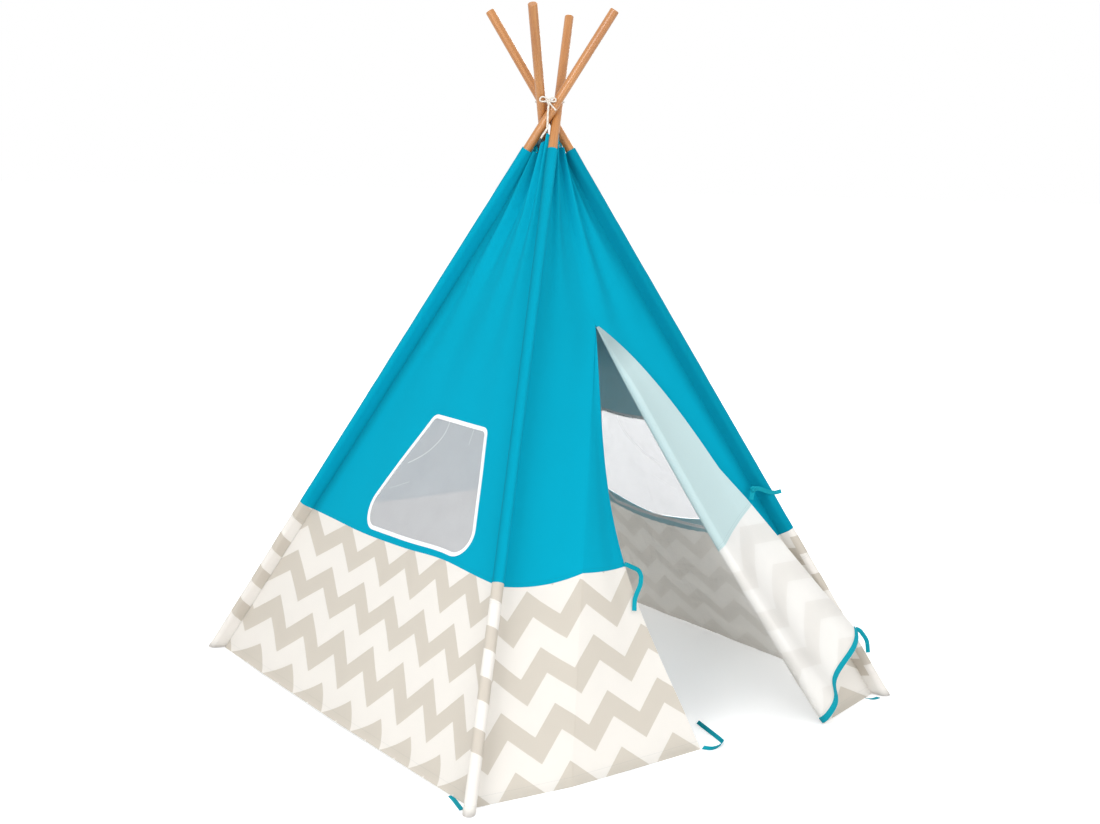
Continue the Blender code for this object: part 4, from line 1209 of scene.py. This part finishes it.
def right_flap(share, height):
    """The right flap tied back: rolled over its fold line, then laid along the wall and pleated."""
    lifted = 0.01 * share * max(0, 1 - height / seam_height)
    flat = closed_flap(1, share, height) + Vector((0, 0, lifted))
    from_foot = flat - right_foot
    along = from_foot.dot(fold_line)
    across = (from_foot - fold_line * along).length
    low = max(0, 1 - along / (fold_length / 2))
    swell = (math.sin(math.pi * share) + math.sin(3 * math.pi * share)) / 2
    wave = 0.0432 * low**1.5 * swell
    room = max(0, min(1, (slit_top.z - height) / 0.16))
    radius = roll_radius * room * (0.35 + 0.65 * min(1, height / 0.15))
    turned = math.pi * radius
    gathered = across * (1 - 0.28 * low) + turned * 0.65 * share
    rise = 0.0012 * room
    if radius > 0 and gathered < turned:
        angle = gathered / radius
        reach, rise_roll = -radius * math.sin(angle), radius * (1 - math.cos(angle))
    else:
        reach = gathered - turned
        rise_roll = 2 * radius * max(0, 1 - reach / 0.10) ** 1.5
    bow = fold_bow * math.sqrt(math.sin(math.pi * min(1, max(0, along / fold_length))))
    bow *= max(0, 1 - share * 1.05)
    soft = 0.0030 * noise.noise(Vector((share * 2.2, height * 2.6, 3.3))) * min(1, share * 4)
    return (
        right_foot + fold_line * along + lay_direction * reach - Vector((bow, 0, 0))
        + lay_out * (rise + rise_roll + wave + soft * room)
    )


flap_top = slit_top.z - 0.008
flap_rows = steps_between((seam_height, 0.41, flap_top), (4, 30))


def flap_measure(side):
    def measure(share, height):
        return closed_flap(side, share, height).x, height / math.cos(wall_slope)

    return measure


for part, rows in (("lower", lower_rows), ("upper", flap_rows)):
    bm = hang(flat_grid(26, 0, 1, rows), left_flap, flap_measure(-1))
    hung(f"left_flap_{part}", bm, front_out, part, "door", front_left, "flap_left",
         f"flap_left_{part}", door_wall.across)
    bm = hang(flat_grid(60, 0, 1, rows), right_flap, flap_measure(1))
    hung(f"right_flap_{part}", bm, -lay_out, part, "door", front_right, "flap_right",
         f"flap_right_{part}", -door_wall.across)


# Hem tape: turquoise tape sewn along the inside of the door's hem, so it shows on the flap
# that is turned out.
def ribbon_weave():
    shade = Shade(bpy.data.materials.new("turquoise_ribbon"))
    _, along, over = shade.own_measure("cloth")
    ribs = along.ridges(0.0011)
    edge = abs(over - 0.5) > 0.42
    colour = shade.blend(ribs * 0.5 + 0.25 + edge * 0.2, (0.0, 0.20, 0.27), (0.002, 0.37, 0.46))
    return shade.done(shade.principled({
        "Base Color": colour, "Roughness": 0.75, "Specular IOR Level": 0.15,
        "Normal": shade.relief(0.6, 0.0003, ribs),
    }))


turquoise_ribbon = ribbon_weave()
tape_width = 0.012


def hem_tape(name, surface, behind, start, end, columns, corner, body, node, toward):
    """A tape along the surface's hem, from start to end of it, on the side that behind says."""

    def place(share, rise):
        share = start + (end - start) * share
        height = hem_height + 0.0012 + tape_width * rise
        before, after = max(0, share - 0.01), min(1, share + 0.01)
        level = surface(after, height) - surface(before, height)
        normal = level.cross(surface(share, height + 0.01) - surface(share, height)).normalized()
        return surface(share, height) + normal * behind * 0.0017

    points = [place(step / 60, 0.5) for step in range(61)]
    length = runs_along(points)[-1]
    bm = hang(flat_grid(columns, 0, 1, [0, 0.33, 0.67, 1]), place, lambda share, rise: (share * length, rise))
    made = cloth_object(name, bm, None, [turquoise_ribbon], 0.0012)
    sewn(made, corner, toward, body, node)


hem_tape("hem_tape_left", door_half(-1), 1, 0.03, 0.97, 24, front_left, "pole_front_left",
         "tape_door_left", door_wall.across)
hem_tape("hem_tape_right", door_half(1), -1, 0.03, 0.97, 24, front_right, "pole_front_right",
         "tape_door_right", -door_wall.across)
hem_tape("hem_tape_flap_left", left_flap, -1, 0.03, 0.97, 40, front_left, "flap_left",
         "tape_flap_left", door_wall.across)
hem_tape("hem_tape_flap_right", right_flap, 1, 0.0, 1.0, 84, front_right, "flap_right",
         "tape_flap_right", -door_wall.across)


# Ties: flat turquoise ribbons sewn to the flaps' edges, for tying them back, and short ones at
# the feet of two poles.
ribbon_width, ribbon_thickness = 0.010, 0.0012
front_left_view = Vector((-2.1, -2.8, 1.3))


def ribbon(name, places, width_direction, node, body, corner, toward):
    """A flat ribbon along the places. Without a width direction its face turns to the front left."""
    route = spread(places, 8)
    runs = runs_along(route)
    widths = []
    for at, (way, _, _) in zip(route, sections(route)):
        width = Vector(width_direction) if width_direction else way.cross(front_left_view - at)
        if widths and width.dot(widths[-1]) < 0:
            width = -width
        widths.append(width.normalized())
    bm = flat_grid(len(route) - 1, 0, len(route) - 1, [0, 0.25, 0.5, 0.75, 1])
    keep_measure(bm, "cloth", lambda row, over: (runs[round(row)], over))
    for vert in bm.verts:
        row = round(vert.co.x)
        vert.co = route[row] + widths[row] * (vert.co.y - 0.5) * ribbon_width
    bm.normal_update()
    made = cloth_object(name, bm, None, [turquoise_ribbon], ribbon_thickness)
    sewn(made, corner, toward, body, node)


ribbon("ribbon_left_middle", [
    (-0.0640, -0.3830, 0.3785), (-0.0560, -0.3866, 0.3753), (-0.0458, -0.3889, 0.3698),
    (-0.0318, -0.3923, 0.3620), (-0.0273, -0.3968, 0.3518), (-0.0293, -0.4011, 0.3421),
    (-0.0385, -0.4090, 0.3313), (-0.0565, -0.4195, 0.3175), (-0.0690, -0.4286, 0.3060),
    (-0.0785, -0.4395, 0.2880),
], None, "tie_left_middle", "flap_left", front_left, door_wall.across)
ribbon("ribbon_left_foot", [
    (0.0027, -0.5895, 0.0050), (0.0138, -0.6033, 0.0050), (0.0318, -0.6045, 0.0050),
    (0.0558, -0.5937, 0.0050), (0.0642, -0.5793, 0.0052), (0.0786, -0.5265, 0.0052),
    (0.0930, -0.4725, 0.0050),
], (0.45, -0.45, 1), "tie_left_foot", "flap_left", front_left, door_wall.across)
ribbon("ribbon_right_middle", [
    (0.3215, -0.3800, 0.4780), (0.3270, -0.3765, 0.4880), (0.3340, -0.3725, 0.4990),
    (0.3440, -0.3720, 0.5010), (0.3573, -0.3735, 0.4985), (0.3799, -0.3770, 0.4899),
    (0.4017, -0.3779, 0.4857), (0.4223, -0.3775, 0.4867),
], None, "tie_right_middle", "flap_right", front_right, -door_wall.across)
flap_corner = right_flap(1.0, hem_height + tape_width / 2)
ribbon("ribbon_right_foot", [
    flap_corner + Vector(step) for step in (
        (-0.001, -0.002, 0.001), (0.008, -0.006, -0.004), (0.016, -0.009, -0.013),
        (0.024, -0.017, -0.031), (0.018, -0.028, -0.055),
    )
], None, "tie_right_foot", "flap_right", front_right, -door_wall.across)
ribbon("ribbon_pole_left", [
    (-0.5840, -0.4880, 0.0015), (-0.5880, -0.5080, 0.0012), (-0.5935, -0.5300, 0.0010),
    (-0.6000, -0.5540, 0.0009),
], (1, 0, 0), "foot_tie_front_left", "pole_front_left", front_left, -left_wall.across)
ribbon("ribbon_pole_right", [
    (0.5430, -0.5700, 0.0009), (0.5480, -0.5815, 0.0009), (0.5590, -0.5865, 0.0009),
    (0.5740, -0.5860, 0.0009),
], (0.3, -1, 0), "foot_tie_front_right", "pole_front_right", front_right, -door_wall.across)

tie_knot_centre = Vector((0.3345, -0.3725, 0.4998))
tie_wraps = tied(tie_knot_centre, Vector((1, 0, 0)), Vector((0, 1, 0)), 0.0021, 0.0019, 0.0026, 72)
frames = sections(tie_wraps)
around, wrap_step = 12, 0.0008
bm = flat_grid(around, 0, around, list(range(len(tie_wraps))))
keep_measure(bm, "cloth", lambda column, row: (row * wrap_step, column / around))
for vert in bm.verts:
    _, across, over = frames[round(vert.co.y)]
    angle = vert.co.x / around * 2 * math.pi
    wrap = across * math.cos(angle) * 0.0034 + over * math.sin(angle) * 0.0020
    vert.co = tie_wraps[round(vert.co.y)] + wrap
close_tube(bm)
tie_knot = finished("ribbon_knot", bm, [turquoise_ribbon])
sewn(tie_knot, front_right, -door_wall.across, "flap_right", "tie_right_knot")
